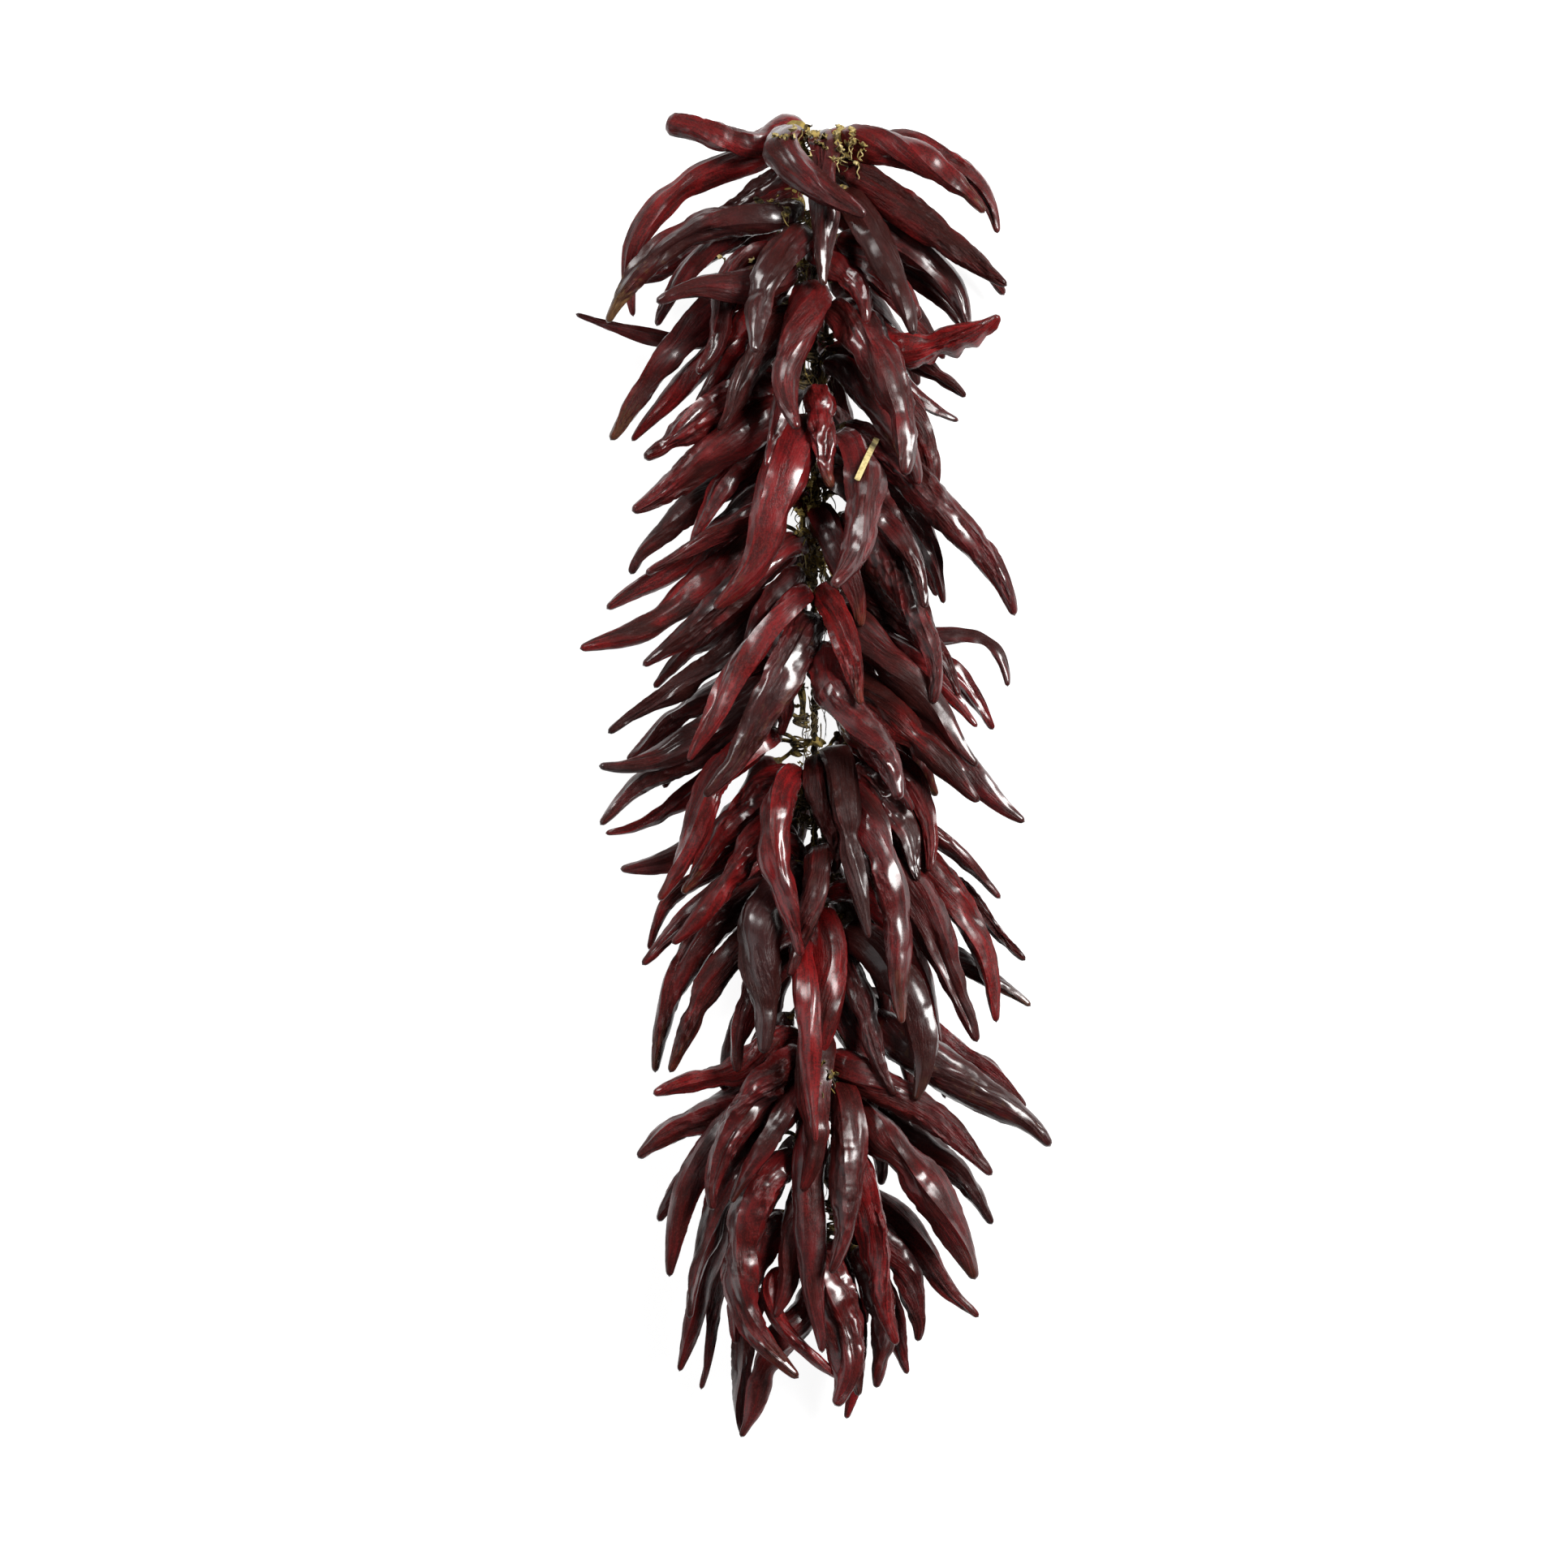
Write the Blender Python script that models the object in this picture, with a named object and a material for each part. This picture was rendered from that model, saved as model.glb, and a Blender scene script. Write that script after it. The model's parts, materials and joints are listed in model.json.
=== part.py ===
"""A ristra: dried chillies tied in threes down a cord, lying on its back with its shown side up.

X runs across the string, Y up it towards the end that it hangs from, and Z away from what it lies on.
The layout is worked out in millimetres round the cord, and the solids are made in metres.
"""

import math
import random

import bmesh
import bpy
import numpy as np
from mathutils import Matrix, Vector
from mathutils.bvhtree import BVHTree

# The cord, in millimetres, and the bunches tied to it.
CORD_TOP = 447
CORD_FOOT = -347
CORD_RADIUS = 2.8
CORD_HEIGHT = 62
BUNCHES = 57
PODS_PER_BUNCH = 3
PODS_PER_TIER = 9
KNOT_OUT = 8.4
KNOT_RADIUS = 4.6
KNOT_DEPTH = 6.5
# How far the first and last knots sit from the ends of the cord.
KNOT_INSET = 7
# A shown pod is tied this much higher than its fat end, and higher still the further out that end is.
KNOT_RISE = 12
KNOT_RISE_OUTWARDS = 0.34
# The highest place of its stem, as shares of the way from the knot to the fat end, across, up and out.
HIP = (0.55, 0.4, 0.62)
# The last stretch before the fat end belongs to the body, and the rest to the stem.
SHOULDER = 22

# One pod: a stem from the knot, then a flattened body that runs out to a thin tip.
STEM_SHORTEST = 13
STEM_LONGEST = 32
STEM_RADIUS = 1.7
SIDES = 5
FLATNESS = 0.74
# Places along the body, as a share of its length, and its half width there, as a share of the widest.
BODY = ((0.0, 0.26), (0.11, 0.9), (0.36, 1.0), (0.75, 0.69), (1.0, 0.0))
NODES = len(BODY) + 1

# How far a pod hangs below level, in degrees, by its height on the cord.
DROOP = (
    (-350, 82), (-300, 74), (-265, 62), (-235, 40), (-205, 34), (-180, 58), (-140, 72),
    (-60, 62), (40, 50), (100, 38), (150, 34), (200, 46), (300, 52), (350, 34), (400, 16), (447, 2),
)
LEAVE = 24
BACK_DEPTH = 50
FRONT_DEPTH = 46
LENGTH = 112
HALF_WIDTH = 9.6
# Bearings of the pods behind, taken in turn: 0 to the right, 180 to the left, 270 straight behind.
HIDDEN_BEARINGS = (-18, 200, 64, 262, -42, 222, 116, -74, 182, 20, 240, 92, 300, 160, -8, 38)
HIDDEN_START = 45
HIDDEN_END = 28

# The strip of straw that lies on the pods of the upper half: its two ends, across and up the cord.
STRAW_ENDS = ((43, 233), (28, 200))
STRAW_WIDTH = 4.4
STRAW_THICKNESS = 0.9
STRAW_STEPS = 6
STRAW_CLEAR = 0.6
STRAW_EASINGS = 12
# The pods are felt for at these shares of half its width to each side, and of a step ahead and behind.
STRAW_PROBES = (-1.2, -0.8, -0.4, 0, 0.4, 0.8, 1.2)

# A good join keeps more than this share of the volumes that go into it: the rest is where they overlap.
LEAST_KEPT = 0.9

GAP = 1.3
ROUNDS = 900
SEED = 36

# The pods that show, from the top down. Each row gives where the fat end shows: its height up the cord
# and how far across it sits; the heading of the pod in degrees, 0 straight down and 90 straight out to
# its own side; the length that shows; how far forward of the cord it starts; its lean towards the
# front in degrees; half its width; and how far its middle arches up and out.
SHOWN = (
    # Top crown
    (436, -14, -94, 74, 20, 6, 10.5, 2),
    (428, -42, -38, 134, 14, 0, 9, 34),
    (430, -22, 44, 82, 50, 6, 12.5, 0),
    (430, 10, -6, 92, 40, 10, 11, 2),
    (418, 22, 49, 134, 26, 8, 11, 2),
    (434, 16, 62, 126, 14, 6, 10, 24),
    (424, 24, 62, 102, 26, 6, 11, 14),
    (408, -20, -58, 66, 4, -8, 9, 4),
    (436, 4, 84, 50, 4, 0, 8, 2),
    # Second tier
    (380, -22, -60, 140, 34, 0, 11, 24),
    (386, -36, -48, 106, 10, -4, 10, 10),
    (334, -50, -80, 72, 28, 6, 11, 4),
    (300, -84, -102, 86, -14, 4, 7, 0),
    (326, -62, -37, 122, 16, 2, 13, 6),
    (298, -68, -42, 86, 0, 0, 8.5, 2),
    (356, -24, -10, 74, 46, 26, 11, 10),
    (332, -56, -12, 76, 24, 6, 12, -4),
    (336, -36, -28, 84, 20, 4, 10, 2),
    (296, -20, -12, 86, 42, 22, 8, -2),
    (314, 6, -13, 92, 54, 22, 12, 7),
    (308, 24, 22, 112, 42, 14, 15, 5),
    (390, 26, 26, 104, 38, 14, 11, 5),
    (384, 38, 46, 102, 24, 4, 10, 12),
    (372, 36, 45, 98, 12, 0, 10, 8),
    (360, 30, 40, 90, 4, -6, 9.5, 6),
    (356, 12, 38, 56, 28, 16, 10, 2),
    (292, 44, 103, 86, 26, 8, 12, 0),
    (302, 42, 56, 74, 6, 0, 9, 0),
    (286, 42, 54, 68, -4, 0, 9, 0),
    (262, 62, 16, 90, 12, 0, 9, 4),
    # Middle, upper part
    (230, -12, -20, 126, 52, 6, 14, -4),
    (214, 28, -6, 96, 50, 20, 14, 4),
    (220, 44, 43, 142, 32, 4, 12, 4),
    (262, -36, -50, 84, 38, 14, 13.5, 8),
    (234, -36, -51, 102, 28, 6, 13, 8),
    (210, -54, -50, 100, 14, 0, 11, 6),
    (248, -44, -38, 72, 18, 4, 11, 4),
    (176, -60, -53, 100, 18, 4, 11, -2),
    (156, -46, -55, 132, 30, 2, 12, -4),
    (186, -30, -58, 96, 20, 2, 11, 2),
    (194, 62, 20, 78, 12, -6, 8, 4),
    (168, 30, 26, 130, 34, 8, 12, 7),
    (192, 34, 34, 90, 28, 8, 10.5, 4),
    (118, 17, 13, 70, 54, 26, 10.5, 2),
    (118, -10, -33, 138, 46, 6, 10, 6),
    (142, -26, -47, 116, 34, 4, 11, 4),
    (94, -8, -29, 134, 50, 6, 12, -4),
    (72, -8, 34, 102, 58, 16, 15, 6),
    (92, 74, 68, 72, 12, 6, 8, 18),
    (96, 68, 50, 86, 6, 2, 10, 0),
    (100, 28, 39, 128, 30, 6, 12, 3),
    (124, 44, 42, 92, 14, 0, 10, 2),
    (56, 34, 45, 102, 38, 8, 12, 2),
    (38, 64, 46, 104, 22, 4, 11, 2),
    (96, -34, -56, 124, 24, 4, 11, 4),
    (66, -40, -54, 104, 14, 2, 10.5, 4),
    (48, -58, -63, 100, 24, 4, 10.5, -6),
    (28, -52, -60, 114, 12, 2, 10.5, 6),
    (4, -64, -58, 92, -2, 0, 8, -2),
    # Middle, lower part
    (-12, -20, 13, 106, 56, 12, 12, -14),
    (2, 16, 9, 124, 46, 10, 9, -3),
    (-24, 42, 9, 140, 44, 6, 12, 4),
    (-8, 34, 20, 74, 36, 12, 11, 4),
    (-64, 64, 23, 122, 32, 4, 12.5, 3),
    (-62, 76, 25, 116, 16, 0, 11, 6),
    (-60, 76, 43, 96, 6, 0, 10, 8),
    (-116, 72, 62, 86, 10, 4, 9, 2),
    (-24, 58, 50, 88, 14, 4, 10, 2),
    (0, 66, 15, 70, 20, 6, 10, 2),
    (-28, -50, -63, 92, 8, 0, 9.5, -4),
    (8, -66, -20, 102, 28, 0, 12, 2),
    (-64, -62, -42, 78, 14, 0, 8.5, 12),
    (-66, -34, -46, 102, 30, 4, 11, 2),
    (-40, -36, -33, 98, 40, 4, 10.5, 3),
    (-10, -34, -40, 90, 26, 2, 10, 4),
    (-80, -36, 0, 104, 48, 8, 15, 2),
    (-92, -52, -24, 114, 30, 2, 12, 9),
    (-114, -40, -27, 108, 36, 2, 11, 9),
    (-118, -8, 5, 118, 56, 8, 8, 2),
    (-124, -34, -22, 74, 40, 12, 11, 2),
    (-124, 38, 18, 112, 36, 4, 12, 15),
    (-102, 60, 13, 128, 22, -4, 9, 2),
    (-136, 18, 12, 80, 44, 10, 10, 2),
    # The spread above the foot
    (-190, 80, 58, 106, 20, 2, 13.5, 2),
    (-180, 70, 56, 92, 8, 0, 11.5, 6),
    (-206, 28, 56, 120, 34, 4, 11, 4),
    (-202, -36, -72, 74, 22, 6, 11, 2),
    (-226, -52, -67, 78, 18, 6, 12, 0),
    (-206, -14, -30, 106, 42, 6, 12, 4),
    (-222, 24, -3, 122, 44, 8, 11, 2),
    (-242, 36, 33, 124, 40, 6, 14.5, 9),
    (-238, -10, 4, 150, 46, 4, 10, 2),
    (-240, -60, -20, 106, 22, 0, 11, 11),
    (-258, 32, 9, 128, 38, 2, 13, 4),
    (-250, 66, 44, 84, 20, 0, 11, 4),
    # The foot
    (-264, -54, -19, 114, 14, -2, 11, 4),
    (-298, -60, -15, 120, 4, -4, 9.5, 2),
    (-278, -30, 6, 142, 32, 0, 13, 26),
    (-310, 62, 40, 82, 8, 4, 9.5, -8),
    (-342, 8, 14, 92, 28, 8, 15, 4),
    (-336, 40, 2, 84, 18, 4, 10, 6),
    (-382, -20, -19, 78, 14, 4, 10, 4),
    (-364, -44, -6, 92, 6, 0, 8, 2),
    (-348, -38, 43, 88, 36, 4, 6, -6),
    (-330, -66, -9, 96, -4, 0, 9, 0),
    (-322, 56, 20, 68, 12, 0, 9.5, 0),
)


def between(table, at):
    """The value at one place in a table of rising (place, value) pairs."""
    for (a, first), (b, second) in zip(table, table[1:]):
        if at <= b:
            share = max(0.0, (at - a) / (b - a))
            return first + (second - first) * share
    return table[-1][1]


def along(path, places):
    """Points at these shares of a path's length."""
    steps = np.sqrt(((path[1:] - path[:-1]) ** 2).sum(axis=1))
    run = np.concatenate([[0.0], np.cumsum(steps)])
    return np.stack([np.interp(np.array(places) * run[-1], run, path[:, k]) for k in range(3)], axis=1)


def length_of(path):
    return float(np.sqrt(((path[1:] - path[:-1]) ** 2).sum(axis=1)).sum())


def eased(path, times):
    """The path with its corners rounded, and its ends kept."""
    path = path.copy()
    for _ in range(times):
        path[1:-1] = 0.5 * path[1:-1] + 0.25 * (path[:-2] + path[2:])
    return path


def shown_pod(row):
    """A pod that shows: its path from the cord, and half its width."""
    up, across, heading, length, forward, lean, half_width, arch = row
    heading, lean = math.radians(heading), math.radians(lean)
    root = np.array([across, up, forward], float)
    run = np.array([math.sin(heading), -math.cos(heading), math.tan(lean)]) * length
    side = 1 if heading > 0 else -1
    out = np.array([side * math.cos(heading), side * math.sin(heading), 0.0])
    if math.sin(heading) * side < 0.2:
        out = np.array([1.0 if across >= 0 else -1.0, 0.0, 0.0])
    t = np.linspace(0, 1, 25)[:, None]
    body = root + run * t + out * arch * 4 * t * (1 - t)
    # The fat end bends down out of a stem that leaves the cord nearly level.
    rise = KNOT_RISE + KNOT_RISE_OUTWARDS * abs(across)
    knot = np.array([0.0, up + rise, 0.0])
    hip = knot + (root - knot) * np.array(HIP)
    lead = along(np.array([knot, hip, root]), np.linspace(0, 1, 13))
    path = eased(np.concatenate([lead, body[1:]]), 8)
    stem = min(STEM_LONGEST, max(STEM_SHORTEST, length_of(lead) - SHOULDER))
    return {"path": path, "half_width": half_width, "stem": stem, "shown": True}


def hidden_pod(rng, height, bearing):
    """A pod between and behind those that show: it follows the droop of its height on the cord."""
    droop = between(DROOP, height) + rng.uniform(-7, 7)
    stem = rng.uniform(STEM_SHORTEST, STEM_LONGEST)
    length = rng.uniform(0.86, 1.16) * LENGTH + stem
    turn = rng.uniform(-12, 12)
    steps = 24
    point = np.array([0.0, height, 0.0])
    path = [point]
    for k in range(steps):
        share = (k + 0.5) / steps
        fall = math.radians(min(88, droop - LEAVE + 1.7 * LEAVE * share))
        bear = math.radians(bearing + turn * share)
        step = np.array([math.cos(fall) * math.cos(bear), -math.sin(fall), math.cos(fall) * math.sin(bear)])
        point = point + step * length / steps
        path.append(point)
    path = np.array(path)
    depth = np.where(path[:, 2] < 0, BACK_DEPTH, FRONT_DEPTH)
    path[:, 2] /= np.sqrt(1 + (path[:, 2] / depth) ** 2)
    return {"path": path, "half_width": rng.uniform(0.82, 1.2) * HALF_WIDTH, "stem": stem, "shown": False}


def bearing_of(path):
    """Which way a pod leaves the cord, in degrees: 0 to the right, 90 to the front."""
    reach = path[len(path) // 2]
    return math.degrees(math.atan2(reach[2], reach[0]))


def all_pods():
    """The pods that show and, spread evenly down the cord, the ones between and behind them."""
    rng = random.Random(SEED)
    pods = [shown_pod(row) for row in SHOWN]
    count = BUNCHES * PODS_PER_BUNCH
    hidden = count - len(pods)
    for k in range(hidden):
        top, foot = CORD_TOP - HIDDEN_START, CORD_FOOT + HIDDEN_END
        height = top + (foot - top) * (k + 0.5) / hidden
        bearing = HIDDEN_BEARINGS[k % len(HIDDEN_BEARINGS)] + rng.uniform(-9, 9)
        pods.append(hidden_pod(rng, height, bearing))
    return pods


def turn_between(first, last):
    """The degrees from one pod's bearing round to another's."""
    return (bearing_of(last["path"]) - bearing_of(first["path"])) % 360


def tied(pods):
    """The pods in bunches of three that lie at nearly one height and one bearing."""
    pods = sorted(pods, key=lambda p: -p["path"][0][1])
    bunches = []
    for start in range(0, len(pods), PODS_PER_TIER):
        tier = sorted(pods[start : start + PODS_PER_TIER], key=lambda p: bearing_of(p["path"]) % 360)
        turns = [tier[k:] + tier[:k] for k in range(PODS_PER_BUNCH)]
        spans = [sum(turn_between(turn[k], turn[k + 2]) for k in (0, 3, 6)) for turn in turns]
        best = turns[spans.index(min(spans))]
        threes = [best[k : k + PODS_PER_BUNCH] for k in range(0, PODS_PER_TIER, PODS_PER_BUNCH)]
        bunches += sorted(threes, key=lambda three: -sum(p["path"][0][1] for p in three))
    return bunches


def knots_of(bunches):
    """Where each bunch is tied: evenly down the cord, on the side that its pods leave from."""
    knots = []
    for k, bunch in enumerate(bunches):
        height = CORD_TOP - KNOT_INSET + (CORD_FOOT - CORD_TOP + 2 * KNOT_INSET) * k / (len(bunches) - 1)
        lean = sum((p["path"][8] * np.array([1.0, 0.0, 1.0]) for p in bunch), np.zeros(3))
        lean = lean / max(1e-6, math.sqrt(lean[0] ** 2 + lean[2] ** 2))
        knots.append(np.array([lean[0] * KNOT_OUT, height, lean[2] * KNOT_OUT]))
    return knots


def chains(bunches, knots):
    """Every pod as a chain of places with a radius at each: knot, stem end, then down the body."""
    places, radii, owner, stiff = [], [], [], []
    for number, (bunch, knot) in enumerate(zip(bunches, knots)):
        for pod in bunch:
            path = pod["path"].copy()
            path[0] = knot
            path = eased(path, 3)
            stem = pod["stem"] / length_of(path)
            body = [stem + (1 - stem) * share for share, _ in BODY]
            places.append(along(path, [0.0] + body))
            radii.append([STEM_RADIUS] + [share * pod["half_width"] for _, share in BODY])
            owner.append(number)
            stiff.append(pod["shown"])
    return np.round(np.array(places), 4), np.array(radii), np.array(owner), np.array(stiff)


def dot(a, b):
    return a[:, 0] * b[:, 0] + a[:, 1] * b[:, 1] + a[:, 2] * b[:, 2]


def nearest(a, b, c, d):
    """How far along each of the segments ab and cd they come nearest, and the step between there."""
    ab, cd, ca = b - a, d - c, a - c
    aa = np.maximum(dot(ab, ab), 1e-9)
    cc = np.maximum(dot(cd, cd), 1e-9)
    ac, f, g = dot(ab, cd), dot(cd, ca), dot(ab, ca)
    room = aa * cc - ac * ac
    s = np.clip(np.where(room > 1e-6, (ac * f - g * cc) / np.maximum(room, 1e-6), 0.5), 0, 1)
    t = np.clip((ac * s + f) / cc, 0, 1)
    s = np.clip((ac * t - g) / aa, 0, 1)
    return s, t, ca + ab * s[:, None] - cd * t[:, None]


def make_room(places, radii, owner, stiff, knots, rounds=ROUNDS):
    """Moves the pods apart, as they'd push each other, until no two of them share any space."""
    pods = len(places)
    spans = NODES - 1
    start = places.copy()
    rest = np.sqrt(((places[:, 1:] - places[:, :-1]) ** 2).sum(axis=2))
    give = np.where(stiff[:, None], np.array([[0.45, 0.45, 1.0]]), np.array([[1.0, 1.0, 1.0]]))
    fixed = np.array([[0.0, CORD_TOP, 0.0], [0.0, CORD_FOOT, 0.0]] + [k for k in knots for _ in (0, 1)])
    fixed_radii = np.array([CORD_RADIUS] * 2 + [KNOT_RADIUS] * 2 * len(knots))
    fixed_owner = np.array([-1] + list(range(len(knots))))
    index = np.arange(pods * spans)
    first = (index // spans) * NODES + index % spans
    seg_pod = index // spans
    seg_stem = index % spans == 0
    base = pods * NODES
    ends_a = np.concatenate([first, base + 2 * np.arange(len(fixed) // 2)])
    ends_b = ends_a + 1
    pod_of = np.concatenate([seg_pod, pods + np.arange(len(fixed) // 2)])
    own = np.concatenate([owner[seg_pod], fixed_owner])
    stem = np.concatenate([seg_stem, np.ones(len(fixed) // 2, bool)])
    is_fixed = np.concatenate([np.zeros(len(index), bool), np.ones(len(fixed) // 2, bool)])
    weight = np.ones((pods, NODES, 3)) * give[:, None, :]
    weight[:, 0] = 0
    weight = np.concatenate([weight.reshape(-1, 3), np.zeros((len(fixed), 3))])
    r_all = np.concatenate([radii.reshape(-1), fixed_radii])
    points = np.concatenate([places.reshape(-1, 3), fixed])
    pairs = None
    for turn in range(rounds):
        if turn % 6 == 0:
            middle = (points[ends_a] + points[ends_b]) / 2
            half = np.sqrt(((points[ends_a] - points[ends_b]) ** 2).sum(axis=1)) / 2
            reach = half + np.maximum(r_all[ends_a], r_all[ends_b]) + 5
            i, j = np.triu_indices(len(middle), 1)
            near = np.abs(middle[i, 1] - middle[j, 1]) < reach[i] + reach[j]
            i, j = i[near], j[near]
            apart = ((middle[i] - middle[j]) ** 2).sum(axis=1) < (reach[i] + reach[j]) ** 2
            same = (pod_of[i] == pod_of[j]) | (is_fixed[i] & is_fixed[j])
            same |= (own[i] == own[j]) & stem[i] & stem[j]
            keep = apart & ~same
            pairs = i[keep], j[keep]
        i, j = pairs
        a, b, c, d = ends_a[i], ends_b[i], ends_a[j], ends_b[j]
        s, t, step = nearest(points[a], points[b], points[c], points[d])
        apart = np.sqrt(dot(step, step))
        need = r_all[a] * (1 - s) + r_all[b] * s + r_all[c] * (1 - t) + r_all[d] * t + GAP
        over = need - apart
        hit = over > 0
        a, b, c, d, s, t, over = a[hit], b[hit], c[hit], d[hit], s[hit], t[hit], over[hit]
        push = step[hit] / np.maximum(apart[hit], 1e-6)[:, None] * (over * 0.5)[:, None]
        move = np.zeros_like(points)
        count = np.zeros(len(points))
        for node, share, sign in ((a, 1 - s, 1), (b, s, 1), (c, 1 - t, -1), (d, t, -1)):
            for k in range(3):
                move[:, k] += np.bincount(node, sign * push[:, k] * share, len(points))
            count += np.bincount(node, share * share, len(points))
        move = move * weight / np.maximum(count, 1.0)[:, None] ** 0.5
        points = points + move * 1.1
        chain = points[:base].reshape(pods, NODES, 3)
        shift = chain - start
        calm = 0.5 if turn < rounds * 0.55 else 0.03
        if turn == int(rounds * 0.7):
            weight[:base] = np.where(weight[:base] > 0, 1.0, 0.0)
        smooth = shift.copy()
        smooth[:, 1:-1] += calm * (0.5 * (shift[:, :-2] + shift[:, 2:]) - shift[:, 1:-1])
        smooth[:, -1] += 0.5 * calm * (shift[:, -2] - shift[:, -1])
        chain = start + smooth
        chain[:, 0] = start[:, 0]
        for k in range(1, NODES):
            step = chain[:, k] - chain[:, k - 1]
            long = np.maximum(np.sqrt(dot(step, step)), 1e-6)
            change = step * ((rest[:, k - 1] - long) / long * 0.5)[:, None]
            chain[:, k] += change
            if k > 1:
                chain[:, k - 1] -= change * 0.5
        chain[:, :, 2] = np.maximum(chain[:, :, 2], radii - CORD_HEIGHT)
        chain[:, 0] = start[:, 0]
        points[:base] = chain.reshape(-1, 3)
    return points[:base].reshape(pods, NODES, 3)


# ---- Solids

MM = 0.001
SKINS = (
    ("oxblood", (0.105, 0.016, 0.014), 0.38),
    ("maroon", (0.07, 0.014, 0.016), 0.42),
    ("black_brown", (0.03, 0.012, 0.012), 0.45),
)


def clear_scene():
    for obj in list(bpy.data.objects):
        bpy.data.objects.remove(obj, do_unlink=True)


def new_collection(name, hidden=False):
    made = bpy.data.collections.new(name)
    made.hide_render = hidden
    bpy.context.scene.collection.children.link(made)
    return made


def plain_material(name, colour, roughness):
    made = bpy.data.materials.new(name)
    made.use_nodes = True
    shader = made.node_tree.nodes["Principled BSDF"]
    shader.inputs["Base Color"].default_value = (*colour, 1)
    shader.inputs["Roughness"].default_value = roughness
    shader.inputs["Metallic"].default_value = 0
    return made


def add(name, mesh, collection, material):
    obj = bpy.data.objects.new(name, mesh)
    collection.objects.link(obj)
    mesh.materials.clear()
    mesh.materials.append(material)
    return obj


def as_mesh(obj):
    """The object's evaluated shape as a mesh, its loose caps welded on."""
    graph = bpy.context.evaluated_depsgraph_get()
    mesh = bpy.data.meshes.new_from_object(obj.evaluated_get(graph))
    shape = bmesh.new()
    shape.from_mesh(mesh)
    bmesh.ops.remove_doubles(shape, verts=shape.verts, dist=0.00001)
    bmesh.ops.recalc_face_normals(shape, faces=shape.faces)
    shape.to_mesh(mesh)
    shape.free()
    return mesh


def flat_profile(collection):
    """The cross-section of a dried pod: a flattened ring, swept along each pod's own line."""
    curve = bpy.data.curves.new("pod_section", "CURVE")
    curve.dimensions = "2D"
    ring = curve.splines.new("POLY")
    ring.points.add(SIDES - 1)
    ring.use_cyclic_u = True
    for k, point in enumerate(ring.points):
        turn = math.tau * k / SIDES
        point.co = (math.cos(turn) * MM, FLATNESS * math.sin(turn) * MM, 0, 1)
    obj = bpy.data.objects.new("pod_section", curve)
    collection.objects.link(obj)
    return obj


def pod_mesh(places, radii, tilt, section, helpers):
    """One pod with its stem, swept along its chain of places."""
    curve = bpy.data.curves.new("pod_line", "CURVE")
    curve.dimensions = "3D"
    curve.twist_mode = "Z_UP"
    curve.bevel_mode = "OBJECT"
    curve.bevel_object = section
    curve.use_fill_caps = True
    line = curve.splines.new("POLY")
    line.points.add(len(places) - 1)
    for point, place, radius in zip(line.points, places, radii):
        point.co = (*(place * MM), 1)
        point.radius = radius
        point.tilt = tilt
    obj = bpy.data.objects.new("pod_line", curve)
    helpers.objects.link(obj)
    mesh = as_mesh(obj)
    bpy.data.objects.remove(obj)
    return mesh


def knot_mesh(place):
    """The wrap that ties three stems to the cord: a short drum, its ends facing up and down the cord."""
    mesh = bpy.data.meshes.new("knot")
    shape = bmesh.new()
    at = Matrix.Translation(Vector(place * MM)) @ Matrix.Rotation(math.pi / 2, 4, "X")
    radius = KNOT_RADIUS * MM
    bmesh.ops.create_cone(shape, cap_ends=True, segments=SIDES, radius1=radius, radius2=radius,
                          depth=KNOT_DEPTH * MM, matrix=at)
    shape.to_mesh(mesh)
    shape.free()
    return mesh


def union_of(obj, others, solver):
    """The mesh of the object joined with the others."""
    for other in others:
        union = obj.modifiers.new("join", "BOOLEAN")
        union.operation = "UNION"
        union.solver = solver
        union.object = other
    graph = bpy.context.evaluated_depsgraph_get()
    mesh = bpy.data.meshes.new_from_object(obj.evaluated_get(graph))
    obj.modifiers.clear()
    return mesh


def volume_of(mesh):
    """The volume a mesh encloses, or nothing where it isn't closed."""
    form = bmesh.new()
    form.from_mesh(mesh)
    shut = bool(form.faces) and all(edge.is_manifold for edge in form.edges)
    volume = form.calc_volume() if shut else 0.0
    form.free()
    return volume


def joined(name, meshes, collection, helpers, material):
    """One closed body from meshes that run into each other."""
    obj = add(name, meshes[0], collection, material)
    others = [add(f"{name}_part", mesh, helpers, material) for mesh in meshes[1:]]
    mesh = union_of(obj, others, "EXACT")
    if volume_of(mesh) < LEAST_KEPT * sum(volume_of(piece) for piece in meshes):
        # Where two stems cross almost flush, only the other solver finds the join.
        mesh = union_of(obj, others, "MANIFOLD")
    obj.data = mesh
    for other in others:
        bpy.data.objects.remove(other)
    mesh.materials.clear()
    mesh.materials.append(material)
    mesh.shade_smooth()
    mesh.set_sharp_from_angle(angle=math.radians(50))
    return obj


def make_cord(collection, helpers, material):
    """The twisted cord, as a plain rod that the knots sit round."""
    curve = bpy.data.curves.new("cord_line", "CURVE")
    curve.dimensions = "3D"
    curve.bevel_depth = CORD_RADIUS * MM
    curve.bevel_resolution = 2
    curve.use_fill_caps = True
    line = curve.splines.new("POLY")
    line.points.add(1)
    line.points[0].co = (0, CORD_FOOT * MM, 0, 1)
    line.points[1].co = (0, CORD_TOP * MM, 0, 1)
    obj = bpy.data.objects.new("cord_line", curve)
    helpers.objects.link(obj)
    mesh = as_mesh(obj)
    bpy.data.objects.remove(obj)
    mesh.shade_smooth()
    return add("cord", mesh, collection, material)


def top_of(trees, x, y):
    """How high the pods stand at one place, or as low as the cord where none does."""
    start = Vector((x, y, 1))
    hits = [tree.ray_cast(start, Vector((0, 0, -1)))[0] for tree in trees]
    return max([hit.z for hit in hits if hit], default=0)


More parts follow.
